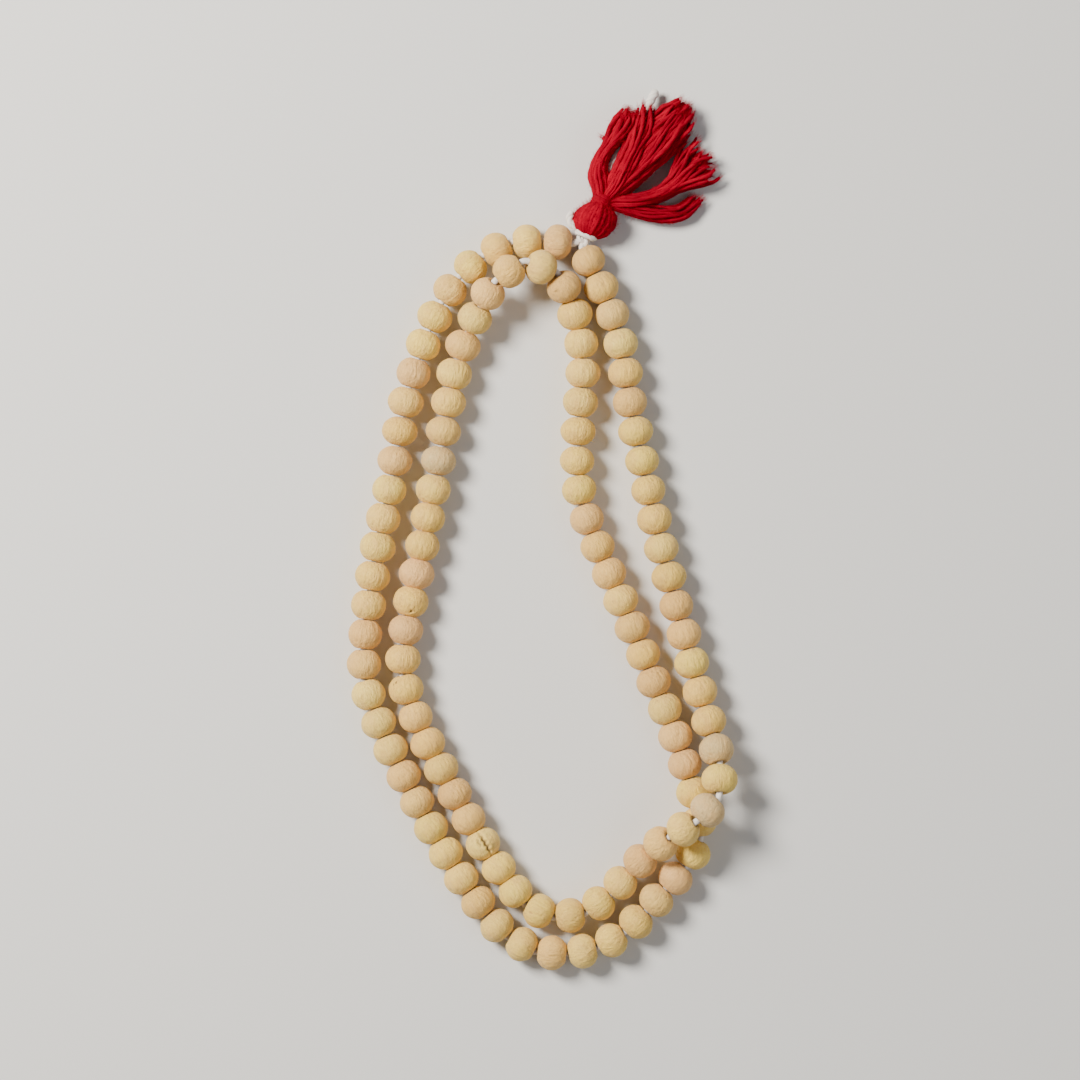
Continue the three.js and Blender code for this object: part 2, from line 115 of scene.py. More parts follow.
LOWER_INNER: Points = (
    (-0.024, 0.0136, 0), (-0.0249, 0.0089, 0), (-0.0276, -0.0048, 0), (-0.0303, -0.018, 0),
    (-0.0313, -0.0242, 0), (-0.0318, -0.0308, 0), (-0.0303, -0.0373, 0), (-0.0278, -0.0437, 0),
    (-0.0213, -0.0562, 0), (-0.0146, -0.0683, 0), (-0.011, -0.0742, 0), (-0.0069, -0.0799, 0),
    (-0.0024, -0.0855, 0), (0.0053, -0.0876, 0), (0.0128, -0.085, 0), (0.0178, -0.0798, 0.0001),
    (0.0224, -0.0744, 0.0008), (0.0268, -0.0703, 0.0039), (0.0316, -0.0668, 0.0083),
    (0.0368, -0.0636, 0.0086), (0.04, -0.06, 0.008),
)
LOWER_RIGHT: Points = (
    (0.0238, 0.0136, 0), (0.0249, 0.0082, 0), (0.0271, -0.0014, 0), (0.0304, -0.014, 0),
    (0.0338, -0.027, 0), (0.0357, -0.0336, 0.0001), (0.0377, -0.0405, 0.0006),
    (0.0397, -0.0476, 0.0029), (0.0409, -0.0549, 0.0062), (0.0404, -0.0586, 0.0072),
)
TAIL: Points = (
    (0.0148, 0.079, 0.0006), (0.0153, 0.0814, 0.0008), (0.0159, 0.084, 0.001),
    (0.0172, 0.0868, 0.001), (0.019, 0.0896, 0.0009), (0.0213, 0.0929, 0.0005),
    (0.0233, 0.0962, 0), (0.025, 0.0992, -0.0008), (0.0263, 0.1016, -0.0018),
)


class Slot(Enum):
    """The record's material slots."""

    WOOD = "wood"
    COTTON = "cotton"
    WOOL = "wool"


# ---------------------------------------------------------------------------------------------
# Lines and surfaces
# ---------------------------------------------------------------------------------------------


def unit(vectors: Array) -> Array:
    """Each vector divided by its length."""
    return vectors / np.maximum(np.linalg.norm(vectors, axis=-1, keepdims=True), 1e-12)


def smooth_line(points: Array, density: int = 100) -> Array:
    """A smooth curve through listed points, as a dense line.

    Between two points the curve is a cubic whose end slopes come from the neighbouring points, each
    weighted by the square root of its distance (a centripetal spline). The two ends take a mirrored
    neighbour.

    Args:
        points: The listed points, one row each.
        density: Steps between two listed points.

    Returns:
        The points along the curve, one row each.
    """
    padded = np.vstack([2 * points[0] - points[1], points, 2 * points[-1] - points[-2]])
    before, start, end, after = (padded[i : len(padded) - 3 + i] for i in range(4))
    pairs = ((before, start), (start, end), (end, after))
    first, middle, last = (np.sqrt(np.linalg.norm(b - a, axis=1))[:, None] for a, b in pairs)
    earlier, own, later = (start - before) / first, (end - start) / middle, (after - end) / last
    slope_in = (earlier - (end - before) / (first + middle) + own) * middle
    slope_out = (own - (after - start) / (middle + last) + later) * middle
    t = np.linspace(0, 1, density, endpoint=False)[None, :, None]
    p, q, m, n = (a[:, None, :] for a in (start, end, slope_in, slope_out))
    curve = p + m * t + (-3 * p + 3 * q - 2 * m - n) * t**2 + (2 * p - 2 * q + m + n) * t**3
    return np.vstack([curve.reshape(-1, points.shape[1]), points[-1]])


def distances(line: Array) -> Array:
    """How far along a line each of its points is."""
    steps = np.linalg.norm(np.diff(line[:, :3], axis=0), axis=1)
    return np.concatenate([[0.0], np.cumsum(steps)])


def at_distances(line: Array, places: Array) -> Array:
    """The points of a dense line at given distances along it."""
    run = distances(line)
    return np.stack([np.interp(places, run, line[:, k]) for k in range(line.shape[1])], axis=1)


def evenly(line: Array, step: float) -> Array:
    """A dense line taken again at even steps of about one length."""
    total = distances(line)[-1]
    return at_distances(line, np.linspace(0, total, max(int(round(total / step)), 3) + 1))


def ring_axes(line: Array, reference: Array) -> tuple[Array, Array, Array]:
    """Three directions at each point of a line: across it, up from it and along it.

    The direction along is the line's slope. Across is the reference turned at right angles to it, and up
    completes the right-handed three.

    Args:
        line: The points, one row each.
        reference: A direction that is never along the line, or one such direction for each point.

    Returns:
        The directions across, up and along, one row each.
    """
    along = unit(np.gradient(line, axis=0))
    across = unit(np.cross(np.broadcast_to(reference, along.shape), along))
    return across, np.cross(along, across), along


def any_start(rng: Random) -> float:
    """A random start for a wave, from anywhere round its turn."""
    return rng.uniform(0, 6.3)


# ---- where the tassel lies: the knot below it and its bent end, its foot, and its directions ----
KNOT_AT = np.array((0.0098, 0.0675, BEAD_RADIUS))
KNOT_REACH = 0.0010
KNOT_END: Points = (
    (0.0080, 0.0699, 0.0044), (0.0069, 0.0711, 0.0047), (0.0065, 0.0723, 0.0048), (0.0071, 0.0738, 0.0047),
)
FOOT_AT = np.array((0.0110, 0.0689, 0.0045))
TASSEL_ALONG = unit(np.array((0.37, 0.93, 0.0)))
TASSEL_RIGHT = np.array((TASSEL_ALONG[1], -TASSEL_ALONG[0], 0.0))


@dataclass
class Skin:
    """Surfaces collected for one piece: their points, faces and painted values."""

    points: list[Array] = field(default_factory=list)
    faces: list[list[int]] = field(default_factory=list)
    paint: dict[str, list[Array]] = field(default_factory=dict)
    count: int = 0

    def add(self, points: Array, faces: Array, **paint: Array) -> None:
        """Adds one surface.

        Args:
            points: Its points, one row each.
            faces: Its faces, one row of point numbers each; -1 stands for no point.
            **paint: Values for each point, by attribute name.
        """
        self.points.append(points)
        moved = np.where(faces >= 0, faces + self.count, -1)
        self.faces.extend([[i for i in row if i >= 0] for row in moved.tolist()])
        for name, values in paint.items():
            self.paint.setdefault(name, []).append(np.asarray(values, float))
        self.count += len(points)

    def piece(self, name: str, material: bpy.types.Material) -> bpy.types.Object:
        """Makes the collected surfaces one object.

        Args:
            name: The object's name.
            material: Its finish.

        Returns:
            The object, at the origin, with its place in its mesh.
        """
        mesh = bpy.data.meshes.new(name)
        mesh.from_pydata(np.vstack(self.points).tolist(), [], self.faces)
        mesh.polygons.foreach_set("use_smooth", np.ones(len(mesh.polygons), bool))
        for key, parts in self.paint.items():
            values = np.concatenate(parts).astype(np.float32)
            kind, entry = ("FLOAT", "value") if values.ndim == 1 else ("FLOAT_VECTOR", "vector")
            mesh.attributes.new(key, kind, "POINT").data.foreach_set(entry, values.ravel())
        mesh.materials.append(material)
        mesh.update()
        piece = bpy.data.objects.new(name, mesh)
        bpy.context.scene.collection.objects.link(piece)
        return piece


def grid_faces(rows: int, around: int, joined: bool = False) -> Array:
    """The four-sided faces of a surface whose rows are closed rings.

    Args:
        rows: How many rings.
        around: How many points in a ring.
        joined: Whether the last ring meets the first.

    Returns:
        The faces, one row of four point numbers each.
    """
    i, j = np.meshgrid(np.arange(rows if joined else rows - 1), np.arange(around), indexing="ij")
    following, beside = (i + 1) % rows, (j + 1) % around
    corners = (i * around + j, i * around + beside, following * around + beside, following * around + j)
    return np.stack([c.ravel() for c in corners], axis=1)


def end_faces(rows: int, around: int) -> Array:
    """The fans that close a tube's two ends, each about one more point that follows the rings.

    Args:
        rows: How many rings.
        around: How many points in a ring.

    Returns:
        The faces, one row of three point numbers and -1 each.
    """
    j = np.arange(around)
    beside = (j + 1) % around
    first, last = rows * around, rows * around + 1
    low = np.stack([np.full(around, first), beside, j, np.full(around, -1)], axis=1)
    top = (rows - 1) * around
    high = np.stack([np.full(around, last), top + j, top + beside, np.full(around, -1)], axis=1)
    return np.vstack([low, high])


@dataclass(frozen=True)
class Ply:
    """A twisted cord or yarn.

    Attributes:
        plies: How many plies are twisted together.
        groove: How deep the groove between two plies is, as a share of the radius.
        pitch: The length of one turn of the twist.
        around: How many points the section has.
        step: How far apart the sections are.
        rough: How high the waves on the surface are, as a share of the radius.
    """

    plies: int
    groove: float
    pitch: float
    around: int
    step: float
    rough: float

    def sweep(
        self, skin: Skin, line: Array, radius: Array | float, phase: float, reference: Array, shade: float
    ) -> None:
        """Carries the twisted section along a line.

        The section's radius at angle a is the strand's radius, less the groove's depth times one minus
        the size of the cosine of half the ply count times the angle, and two waves roughen it. The section
        turns once for each pitch of length. Round ends are closed by a fan about a point on the line.

        Args:
            skin: Where the surface goes.
            line: The centre line.
            radius: The strand's radius, or its radius at each point of the line.
            phase: Where the twist starts.
            reference: A direction never along the line.
            shade: A number from 0 to 1 that sets this strand's own colour.
        """
        radius = np.broadcast_to(radius, len(line))
        across, up, along = ring_axes(line, reference)
        run = distances(line)[:, None]
        angle = np.linspace(0, 2 * math.pi, self.around, endpoint=False)[None, :]
        turned = angle - (phase + 2 * math.pi * run / self.pitch)
        lobes = np.abs(np.cos(self.plies / 2 * turned))
        waver = np.sin(5 * turned + run * 900 + phase * 7) + np.sin(run * 2600 - 3 * angle)
        out = radius[:, None] * (1 - self.groove * (1 - lobes) + self.rough * waver)
        sideways, upwards = (out * np.cos(angle))[..., None], (out * np.sin(angle))[..., None]
        rings = (line[:, None] + (sideways * across[:, None] + upwards * up[:, None])).reshape(-1, 3)
        tips = np.stack([line[0] - along[0] * radius[0] * 0.4, line[-1] + along[-1] * radius[-1] * 0.4])
        faces = np.vstack([grid_faces(len(line), self.around), end_faces(len(line), self.around)])
        millimetres = np.broadcast_to(run, out.shape) * 1000
        fibre = np.stack([millimetres, turned / (2 * math.pi), np.full(out.shape, shade * 50)], axis=-1)
        ends = np.stack([fibre[0, 0], fibre[-1, 0]])
        skin.add(
            np.vstack([rings, tips]),
            faces,
            fibre=np.vstack([fibre.reshape(-1, 3), ends]),
            # One on a ply's crest and none in its groove; the finishes paint shade in the grooves from it.
            crest=np.concatenate([lobes.ravel(), [0.6, 0.6]]),
            shade=np.full(len(rings) + 2, shade),
        )


@dataclass
class Roots:
    """Where loose fibres start, and the outward and the running direction at each."""

    at: list[Array] = field(default_factory=list)
    out: list[Array] = field(default_factory=list)
    along: list[Array] = field(default_factory=list)

    def add(self, at: Array, out: Array, along: Array) -> None:
        """Adds some roots.

        Args:
            at: Where they are, one row each.
            out: The outward direction at each.
            along: The running direction at each, or one for them all.
        """
        self.at.append(at)
        self.out.append(out)
        self.along.append(np.broadcast_to(along, out.shape))


@dataclass(frozen=True)
class Fuzz:
    """Loose fibres that stand off a strand.

    Attributes:
        length: The middle of their lengths.
        thickness: How thick they are at the root.
        lean: How far they lean along the strand for each unit that they stand off it.
    """

    length: float
    thickness: float
    lean: float

    def grow(self, skin: Skin, rng: Random, roots: Roots, shade: float) -> None:
        """Adds one three-sided tapering fibre at each root.

        A fibre leaves its root in a mix of the outward and the running direction, bows to one side half
        way, and ends in a point: three rings' worth of points, the last drawn to one.

        Args:
            skin: Where the fibres go.
            rng: The source of their differences.
            roots: Where they start.
            shade: The colour number they take.
        """
        at, out, along = np.vstack(roots.at), np.vstack(roots.out), np.vstack(roots.along)
        count = len(at)
        way = out + along * self.lean * rng.normal(1.0, 0.6, (count, 1)) + rng.normal(0, 0.45, (count, 3))
        way = unit(way)
        size = self.length * rng.uniform(0.4, 1.25, (count, 1))
        bow = unit(np.cross(way, rng.normal(0, 1, (count, 3))))
        other = np.cross(way, bow)
        angle = np.array((0, 2, 4)) * math.pi / 3
        star = bow[:, None] * np.cos(angle)[None, :, None] + other[:, None] * np.sin(angle)[None, :, None]
        base = at[:, None] + star * self.thickness / 2
        middle = (at + way * size * 0.55 + bow * size * 0.16)[:, None] + star * self.thickness * 0.36
        tip = (at + way * size + bow * size * rng.uniform(-0.1, 0.5, (count, 1)))[:, None]
        points = np.concatenate([base, middle, tip], axis=1)
        points[..., 2] = np.maximum(points[..., 2], self.thickness)
        side = [(j, (j + 1) % 3, 3 + (j + 1) % 3, 3 + j) for j in range(3)]
        cone = [(3 + j, 3 + (j + 1) % 3, 6, -1) for j in range(3)]
        pattern = np.array([(2, 1, 0, -1), *side, *cone])
        offsets = (np.arange(count) * 7)[:, None, None]
        faces = np.where(pattern[None] >= 0, pattern[None] + offsets, -1).reshape(-1, 4)
        total = count * 7
        skin.add(
            points.reshape(-1, 3),
            faces,
            fibre=np.full((total, 3), shade * 50),
            crest=np.full(total, 0.9),
            shade=np.full(total, shade),
        )


COTTON_PLY = Ply(plies=3, groove=0.2, pitch=0.0052, around=18, step=0.00045, rough=0.012)
YARN_PLY = Ply(plies=2, groove=0.05, pitch=0.0150, around=8, step=0.0005, rough=0.03)
COTTON_FUZZ = Fuzz(length=0.0006, thickness=0.00005, lean=0.6)
WOOL_FUZZ = Fuzz(length=0.0014, thickness=0.000055, lean=1.8)


# ---------------------------------------------------------------------------------------------
# Finishes
# ---------------------------------------------------------------------------------------------


@dataclass
class Graph:
    """A material's nodes, with short ways to add and join them."""

    material: bpy.types.Material

    @classmethod
    def new(cls, name: str) -> "Graph":
        """Starts a material with only its shader and output.

        Args:
            name: The material's name.

        Returns:
            Its graph.
        """
        material = bpy.data.materials.new(name)
        material.use_nodes = True
        return cls(material)

    @property
    def shader(self) -> bpy.types.Node:
        """The material's shader."""
        return self.material.node_tree.nodes["Principled BSDF"]

    def set(self, **values: object) -> None:
        """Sets the shader's sockets by name, with spaces for underscores."""
        for name, value in values.items():
            self.shader.inputs[name.replace("_", " ")].default_value = value

    def node(
        self, kind: str, inputs: dict[str | int, object] | None = None, **settings: object
    ) -> bpy.types.Node:
        """Adds a node.

        Args:
            kind: The node type, without its ShaderNode prefix.
            inputs: Values or other nodes' outputs, by socket.
            **settings: The node's own properties.

        Returns:
            The node.
        """
        made = self.material.node_tree.nodes.new("ShaderNode" + kind)
        for name, value in settings.items():
            setattr(made, name, value)
        for socket, value in (inputs or {}).items():
            if isinstance(value, Socket):
                self.material.node_tree.links.new(value, made.inputs[socket])
            else:
                made.inputs[socket].default_value = value
        return made

    def painted(self, name: str) -> bpy.types.Node:
        """A value painted on the piece's points."""
        return self.node("Attribute", attribute_name=name)

    def noise(self, place: Socket, scale: tuple[float, float, float], detail: float, rough: float) -> Socket:
        """Adds noise over a stretched place.

        Args:
            place: Where the pattern is read.
            scale: How fine it is in each direction.
            detail: How many finer layers it has.
            rough: How strong those are.

        Returns:
            The noise, from 0 to 1.
        """
        stretched = self.node("VectorMath", {0: place, 1: scale}, operation="MULTIPLY").outputs[0]
        inputs = {"Vector": stretched, "Scale": 1.0, "Detail": detail, "Roughness": rough}
        return self.node("TexNoise", inputs).outputs["Fac"]

    def band(self, value: Socket, low: float, high: float, start: float, end: float) -> Socket:
        """A value taken from one range to another, held at the ends."""
        inputs = {"Value": value, "From Min": low, "From Max": high, "To Min": start, "To Max": end}
        return self.node("MapRange", inputs, clamp=True).outputs[0]

    def maths(self, operation: str, a: object, b: object) -> Socket:
        """Arithmetic on two values."""
        return self.node("Math", {0: a, 1: b}, operation=operation).outputs[0]

    def mix(self, share: object, a: object, b: object) -> Socket:
        """Two colours mixed, with a share of the second."""
        return self.node("Mix", {0: share, 6: a, 7: b}, data_type="RGBA").outputs[2]

    def bump(self, height: Socket, strength: float, distance: float) -> None:
        """Gives the shader a surface raised by a height."""
        made = self.node("Bump", {"Height": height, "Strength": strength, "Distance": distance})
        self.join(made.outputs[0], "Normal")

    def join(self, output: Socket, socket: str) -> None:
        """Joins an output to one of the shader's sockets."""
        self.material.node_tree.links.new(output, self.shader.inputs[socket])


@dataclass(frozen=True)
class WoodFinish:
    """Pale turned wood, dry and unvarnished, with fine fibres along the bore."""

    name: str = "pale turned wood"
    roughness: float = 0.58
    brown_fibre: Colour = (0.62, 0.34, 0.075, 1)
    blotched: Colour = (0.74, 0.42, 0.13, 1)
    pale_fibre: Colour = (0.98, 0.80, 0.38, 1)
    open_pore: Colour = (0.36, 0.20, 0.075, 1)
    low_ridge: Colour = (0.52, 0.27, 0.07, 1)
    brown_speck: Colour = (0.55, 0.27, 0.09, 1)
    dark_mark: Colour = (0.085, 0.040, 0.014, 1)

    def make(self) -> bpy.types.Material:
        """Builds the material.

        The bead's own colour is painted on it. Long thin noise along the bore gives fibres and ridges, wide
        soft noise gives blotches, and short specks give open pores. Painted marks are darkened.

        Returns:
            The material.
        """
        g = Graph.new(self.name)
        place = g.painted("grain").outputs["Vector"]
        tint = g.painted("tint").outputs["Vector"]
        mark = g.painted("mark").outputs["Fac"]
        fibre = g.noise(place, (2.6, 0.42, 2.6), 5.0, 0.62)
        fine = g.noise(place, (7.5, 0.9, 7.5), 3.0, 0.6)
        blotch = g.noise(place, (0.33, 0.24, 0.33), 2.0, 0.5)
        pore = g.noise(place, (11.0, 3.4, 11.0), 2.0, 0.5)
        ridge = g.noise(place, (1.25, 0.38, 1.25), 2.0, 0.55)
        speck = g.noise(place, (2.2, 1.1, 2.2), 1.0, 0.5)
        colour = tint
        for pattern, low, high, share, stain in (
            (fibre, 0.40, 0.72, 0.34, self.brown_fibre),
            (blotch, 0.45, 0.70, 0.42, self.blotched),
            (fine, 0.50, 0.72, 0.22, self.pale_fibre),
            (pore, 0.62, 0.74, 0.34, self.open_pore),
            (ridge, 0.36, 0.20, 0.75, self.low_ridge),
            (speck, 0.70, 0.80, 0.5, self.brown_speck),
        ):
            colour = g.mix(g.band(pattern, low, high, 0.0, share), colour, stain)
        g.join(g.mix(mark, colour, self.dark_mark), "Base Color")
        g.join(g.band(fibre, 0.3, 0.7, self.roughness - 0.08, self.roughness + 0.14), "Roughness")
        height = g.maths("ADD", g.maths("MULTIPLY", fine, 0.55), g.maths("MULTIPLY", fibre, 0.9))
        height = g.maths("SUBTRACT", height, g.band(pore, 0.60, 0.74, 0.0, 0.6))
        height = g.maths("ADD", height, g.maths("MULTIPLY", ridge, 2.4))
        g.bump(height, 0.9, 0.00022)
        g.set(Specular_IOR_Level=0.32, Sheen_Weight=0.12, Sheen_Roughness=0.6)
        return g.material


@dataclass(frozen=True)
class CottonFinish:
    """Off-white twisted cotton, with painted shade in the ply grooves and a little soiling in wide patches.
    """

    name: str = "twisted cotton"
    clean: Colour = (0.80, 0.75, 0.69, 1)
    # The dark colour of the painted shade in the ply grooves and of the soiling in wide patches.
    shaded_soil: Colour = (0.50, 0.41, 0.33, 1)
    pale_fibre: Colour = (0.90, 0.87, 0.82, 1)

    def make(self) -> bpy.types.Material:
        """Builds the material: clean on the crests, darker in the ply grooves as painted shade, with soiling
        in wide patches and fibres along the plies.

        Returns:
            The material.
        """
        g = Graph.new(self.name)
        place = g.painted("fibre").outputs["Vector"]
        crest = g.painted("crest").outputs["Fac"]
        fibres = g.noise(place, (1.4, 26.0, 1.0), 4.0, 0.65)
        wide = g.noise(place, (0.25, 2.0, 1.0), 2.0, 0.5)
        # Painted shade: darker in the grooves between plies, from the crest value; wide patches add soiling.
        groove_shade_and_soil = g.maths("ADD", g.band(crest, 0.55, 0.05, 0.0, 0.55), g.band(wide, 0.45, 0.75, 0.0, 0.4))
        colour = g.mix(groove_shade_and_soil, self.clean, self.shaded_soil)
        colour = g.mix(g.band(fibres, 0.35, 0.7, 0.0, 0.35), colour, self.pale_fibre)
        g.join(colour, "Base Color")
        g.bump(fibres, 0.7, 0.00012)
        g.set(Roughness=0.92, Specular_IOR_Level=0.2, Sheen_Weight=0.35, Sheen_Roughness=0.5)
        return g.material


@dataclass(frozen=True)
class WoolFinish:
    """Fuzzy crimson yarn."""

    name: str = "crimson wool"
    bright: Colour = (0.50, 0.0004, 0.022, 1)
    # The dark red of the painted shade in the ply grooves, and of the darker patches and strands.
    deep: Colour = (0.085, 0.0002, 0.004, 1)
    # A painted highlight: paler red on the raised fibres.
    fibre_highlight: Colour = (0.62, 0.002, 0.036, 1)

    def make(self) -> bpy.types.Material:
        """Builds the material: bright on the crests and darker in the ply grooves as painted shade, darker in
        wide patches and by each strand's own tone, and paler on the raised fibres as a painted highlight.

        Returns:
            The material.
        """
        g = Graph.new(self.name)
        place = g.painted("fibre").outputs["Vector"]
        crest = g.painted("crest").outputs["Fac"]
        shade = g.painted("shade").outputs["Fac"]
        fibres = g.noise(place, (0.9, 22.0, 1.0), 4.0, 0.7)
        wide = g.noise(place, (0.16, 1.2, 1.0), 2.0, 0.5)
        # Painted shade: darker in the grooves between plies, from the crest value; wide patches and each
        # strand's own tone add darker red at random.
        depth = g.maths("ADD", g.band(crest, 0.7, 0.0, 0.0, 0.25), g.band(wide, 0.42, 0.78, 0.0, 0.35))
        depth = g.maths("ADD", depth, g.band(shade, 0.0, 1.0, 0.0, 0.40))
        colour = g.mix(depth, self.bright, self.deep)
        # Painted highlight: paler red where the fibres are raised.
        colour = g.mix(g.band(fibres, 0.45, 0.75, 0.0, 0.4), colour, self.fibre_highlight)
        g.join(colour, "Base Color")
        g.bump(fibres, 1.0, 0.0004)
        g.set(
            Roughness=0.95,
            Specular_IOR_Level=0.03,
            Sheen_Weight=0.06,
            Sheen_Roughness=0.5,
            Sheen_Tint=(1.0, 0.06, 0.16, 1),
        )
        return g.material


@dataclass
class Finishes:
    """The object's three finishes."""

    wood: bpy.types.Material = field(default_factory=lambda: WoodFinish().make())
    cotton: bpy.types.Material = field(default_factory=lambda: CottonFinish().make())
    wool: bpy.types.Material = field(default_factory=lambda: WoolFinish().make())


def settle(piece: bpy.types.Object, slot: Slot, body: str, *nodes: str) -> bpy.types.Object:
    """Hides the frame nodes that a piece stands for and attaches it to the body it moves with.

    Args:
        piece: The finished piece.
        slot: Its material slot; not used.
        body: The frame body it rides on.
        *nodes: The frame nodes it stands for.

    Returns:
        The piece.
    """
    if nodes:
        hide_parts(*nodes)
    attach(piece, body)
    logger.info("%s rides on %s, %d faces", piece.name, body, len(piece.data.polygons))
    return piece


def bridge(
    piece: bpy.types.Object, slot: Slot, bodies: tuple[str, str], start: Array, end: Array, *nodes: str
) -> None:
    """Hides the frame nodes that a piece crossing a joint stands for and bakes its place into its mesh.

    Args:
        piece: The finished piece.
        slot: Its material slot; not used.
        bodies: The two bodies that the joint joins.
        start: Where it stops following the first; not used.
        end: Where it starts to follow the second; not used.
        *nodes: The frame nodes it stands for.
    """
    if nodes:
        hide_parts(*nodes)
    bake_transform(piece)
    logger.info("%s bends from %s to %s, %d faces", piece.name, *bodies, len(piece.data.polygons))


# ---------------------------------------------------------------------------------------------
# Strung beads
# ---------------------------------------------------------------------------------------------


@dataclass
class BeadPlace:
    """Where one bead sits and what it stands for.

    Attributes:
        at: The bead's middle.
        along: The direction of its bore.
        room: How much cord it has to each side of its middle.
        node: The frame node that it stands for.
        body: The frame body that it rides on.
    """

    at: Array
    along: Array
    room: float
    node: str
    body: str


def reach(bend: Array) -> Array:
    """How far a frame bead's middle stands from a corner of the cord that turns by `bend` radians.

    It is the largest, over the outline, of a corner's height plus its radius times the tangent of half
    the bend.

    Args:
        bend: The cord's turn at each corner.

    Returns:
        The distance for each corner.
    """
    return np.max(OUTLINE_HEIGHT[:, None] + OUTLINE_RADIUS[:, None] * np.tan(bend / 2)[None, :], axis=0)


def bends(corners: Array) -> Array:
    """The angle that a line turns through at each corner, from the directions before and after it.

    Args:
        corners: The corners, one row each.

    Returns:
        The angle at each corner, which is none at the two ends.
    """
    ways = unit(np.diff(corners, axis=0))
    turn = np.arccos(np.clip(np.sum(ways[1:] * ways[:-1], axis=1), -1, 1))
    return np.concatenate([[0.0], turn, [0.0]])


@dataclass
class Strand:
    """A stretch of cord between two folds or between a fold and the tassel, with its beads.

    The cord runs straight through each bead and turns between beads. As many beads go on as the stretch
    takes, and what is left over is spread along the gaps.

    Attributes:
        name: The strand's name.
        lie: The points the cord passes, with their lift off the beads' resting height.
        runs: How many beads each of its frame nodes holds, in order.
        body: The frame body that its runs ride on.
        reverse: Whether it is threaded from the last listed point.
        corners: Where the cord turns between beads.
        beads: The beads' places.
    """

    name: str
    lie: Points
    runs: tuple[int, ...]
    body: str
    reverse: bool = False
    corners: Array = field(init=False)
    beads: list[BeadPlace] = field(init=False)

    def __post_init__(self) -> None:
        """Threads the beads: one fewer is tried until they fit, and the spare cord is shared out."""
        points = np.array(self.lie[::-1] if self.reverse else self.lie)
        points[:, 2] += BEAD_RADIUS
        line = smooth_line(points)
        total = distances(line)[-1]
        count, spare = int(total / BEAD_PITCH) + 1, -1.0
        while spare < 0:
            count -= 1
            steps = np.full(count, total / count)
            for _ in range(30):
                corners = at_distances(line, np.minimum(np.concatenate([[0.0], np.cumsum(steps)]), total))
                span = reach(bends(corners))
                chord = np.linalg.norm(np.diff(corners, axis=0), axis=1)
                needed = steps * (span[:-1] + span[1:] + BEAD_GAP) / chord
                spare = total - needed.sum()
                steps = needed + spare / count
        self.corners = corners
        self.beads = self._places(reach(bends(corners)))

    def _places(self, span: Array) -> list[BeadPlace]:
        """The bead between each two corners, named after the frame node that holds it.

        Args:
            span: How far a bead's middle stands from each corner.

        Returns:
            The beads' places in order.
        """
        start, way = self.corners[:-1], np.diff(self.corners, axis=0)
        chord, along = np.linalg.norm(way, axis=1), unit(way)
        before = span[:-1] + (chord - span[:-1] - span[1:]) / 2
        at = start + along * before[:, None]
        room = np.minimum(before, chord - before)
        names: list[tuple[str, str]] = []
        for k, size in enumerate(self.runs):
            label = f"{self.name}_{'run' if size > 1 else 'bead'}_{k + 1}"
            names += [(label, self.body if size > 1 else label)] * size
        if len(names) != len(at):
            raise ValueError(f"{self.name} takes {len(at)} beads, not {len(names)}")
        return [BeadPlace(*row, node, body) for row, (node, body) in zip(zip(at, along, room), names)]


@dataclass(frozen=True)
class Blemish:
    """A flaw in a bead's surface: a groove along the bore, a pit or a raised lobe.

    Attributes:
        angle: Where it is round the bead.
        place: Where it is along the bore, from the bead's middle.
        width: Its half width round the bead.
        length: Its half length along the bore.
        depth: How deep it goes; below nothing, how high it stands.
        dark: How dark it is, from 0 to 1.
    """

    angle: float
    place: float
    width: float
    length: float
    depth: float
    dark: float


@dataclass(frozen=True)
class BeadForm:
    """How one bead differs from the next.

    Attributes:
        tint: The wood's colour.
        radius: The bead's largest radius.
        fullness: The power in its outline; a larger one is squarer.
        flat: The radius of the flat on each end.
        blemishes: The flaws in its surface.
        splinters: Each loose sliver's angle and its place along the bore.
        around: How many points a ring of its surface has.
        rows: How many rings its outside has.
    """

    tint: tuple[float, float, float]
    radius: float = BEAD_RADIUS
    fullness: float = 2.05
    flat: float = PRESSED_FLAT
    blemishes: tuple[Blemish, ...] = ()
    splinters: tuple[tuple[float, float], ...] = ()
    around: int = 48
    rows: int = 32


# ---- the woods of the string, and the flaws that stand out on it ----
CREAM = (0.90, 0.62, 0.140)
HONEY = (0.88, 0.555, 0.100)
YELLOW = (0.93, 0.645, 0.110)
TAN = (0.79, 0.455, 0.120)
PINKISH = (0.84, 0.475, 0.165)
GREYISH = (0.69, 0.495, 0.215)
PALETTE = (CREAM, CREAM, YELLOW, HONEY, HONEY, TAN, PINKISH)

CRACK = (
    Blemish(angle=1.75, place=0.0001, width=0.00034, length=0.0030, depth=0.00085, dark=1.0),
    Blemish(angle=1.98, place=0.0003, width=0.00060, length=0.0022, depth=-0.00030, dark=0.1),
    Blemish(angle=1.42, place=-0.0008, width=0.00030, length=0.0012, depth=0.00035, dark=0.6),
)
PIT = (Blemish(angle=1.75, place=0.0021, width=0.00034, length=0.00038, depth=0.0006, dark=1.0),)
CHIPS = (
    Blemish(angle=1.00, place=-0.0021, width=0.00030, length=0.00032, depth=0.0004, dark=1.0),
    Blemish(angle=0.74, place=-0.0018, width=0.00022, length=0.00028, depth=0.0003, dark=0.9),
)
PIP = (Blemish(angle=2.2, place=0.0014, width=0.0004, length=0.0004, depth=-0.00035, dark=0.0),)
FINE = {"around": 120, "rows": 72}

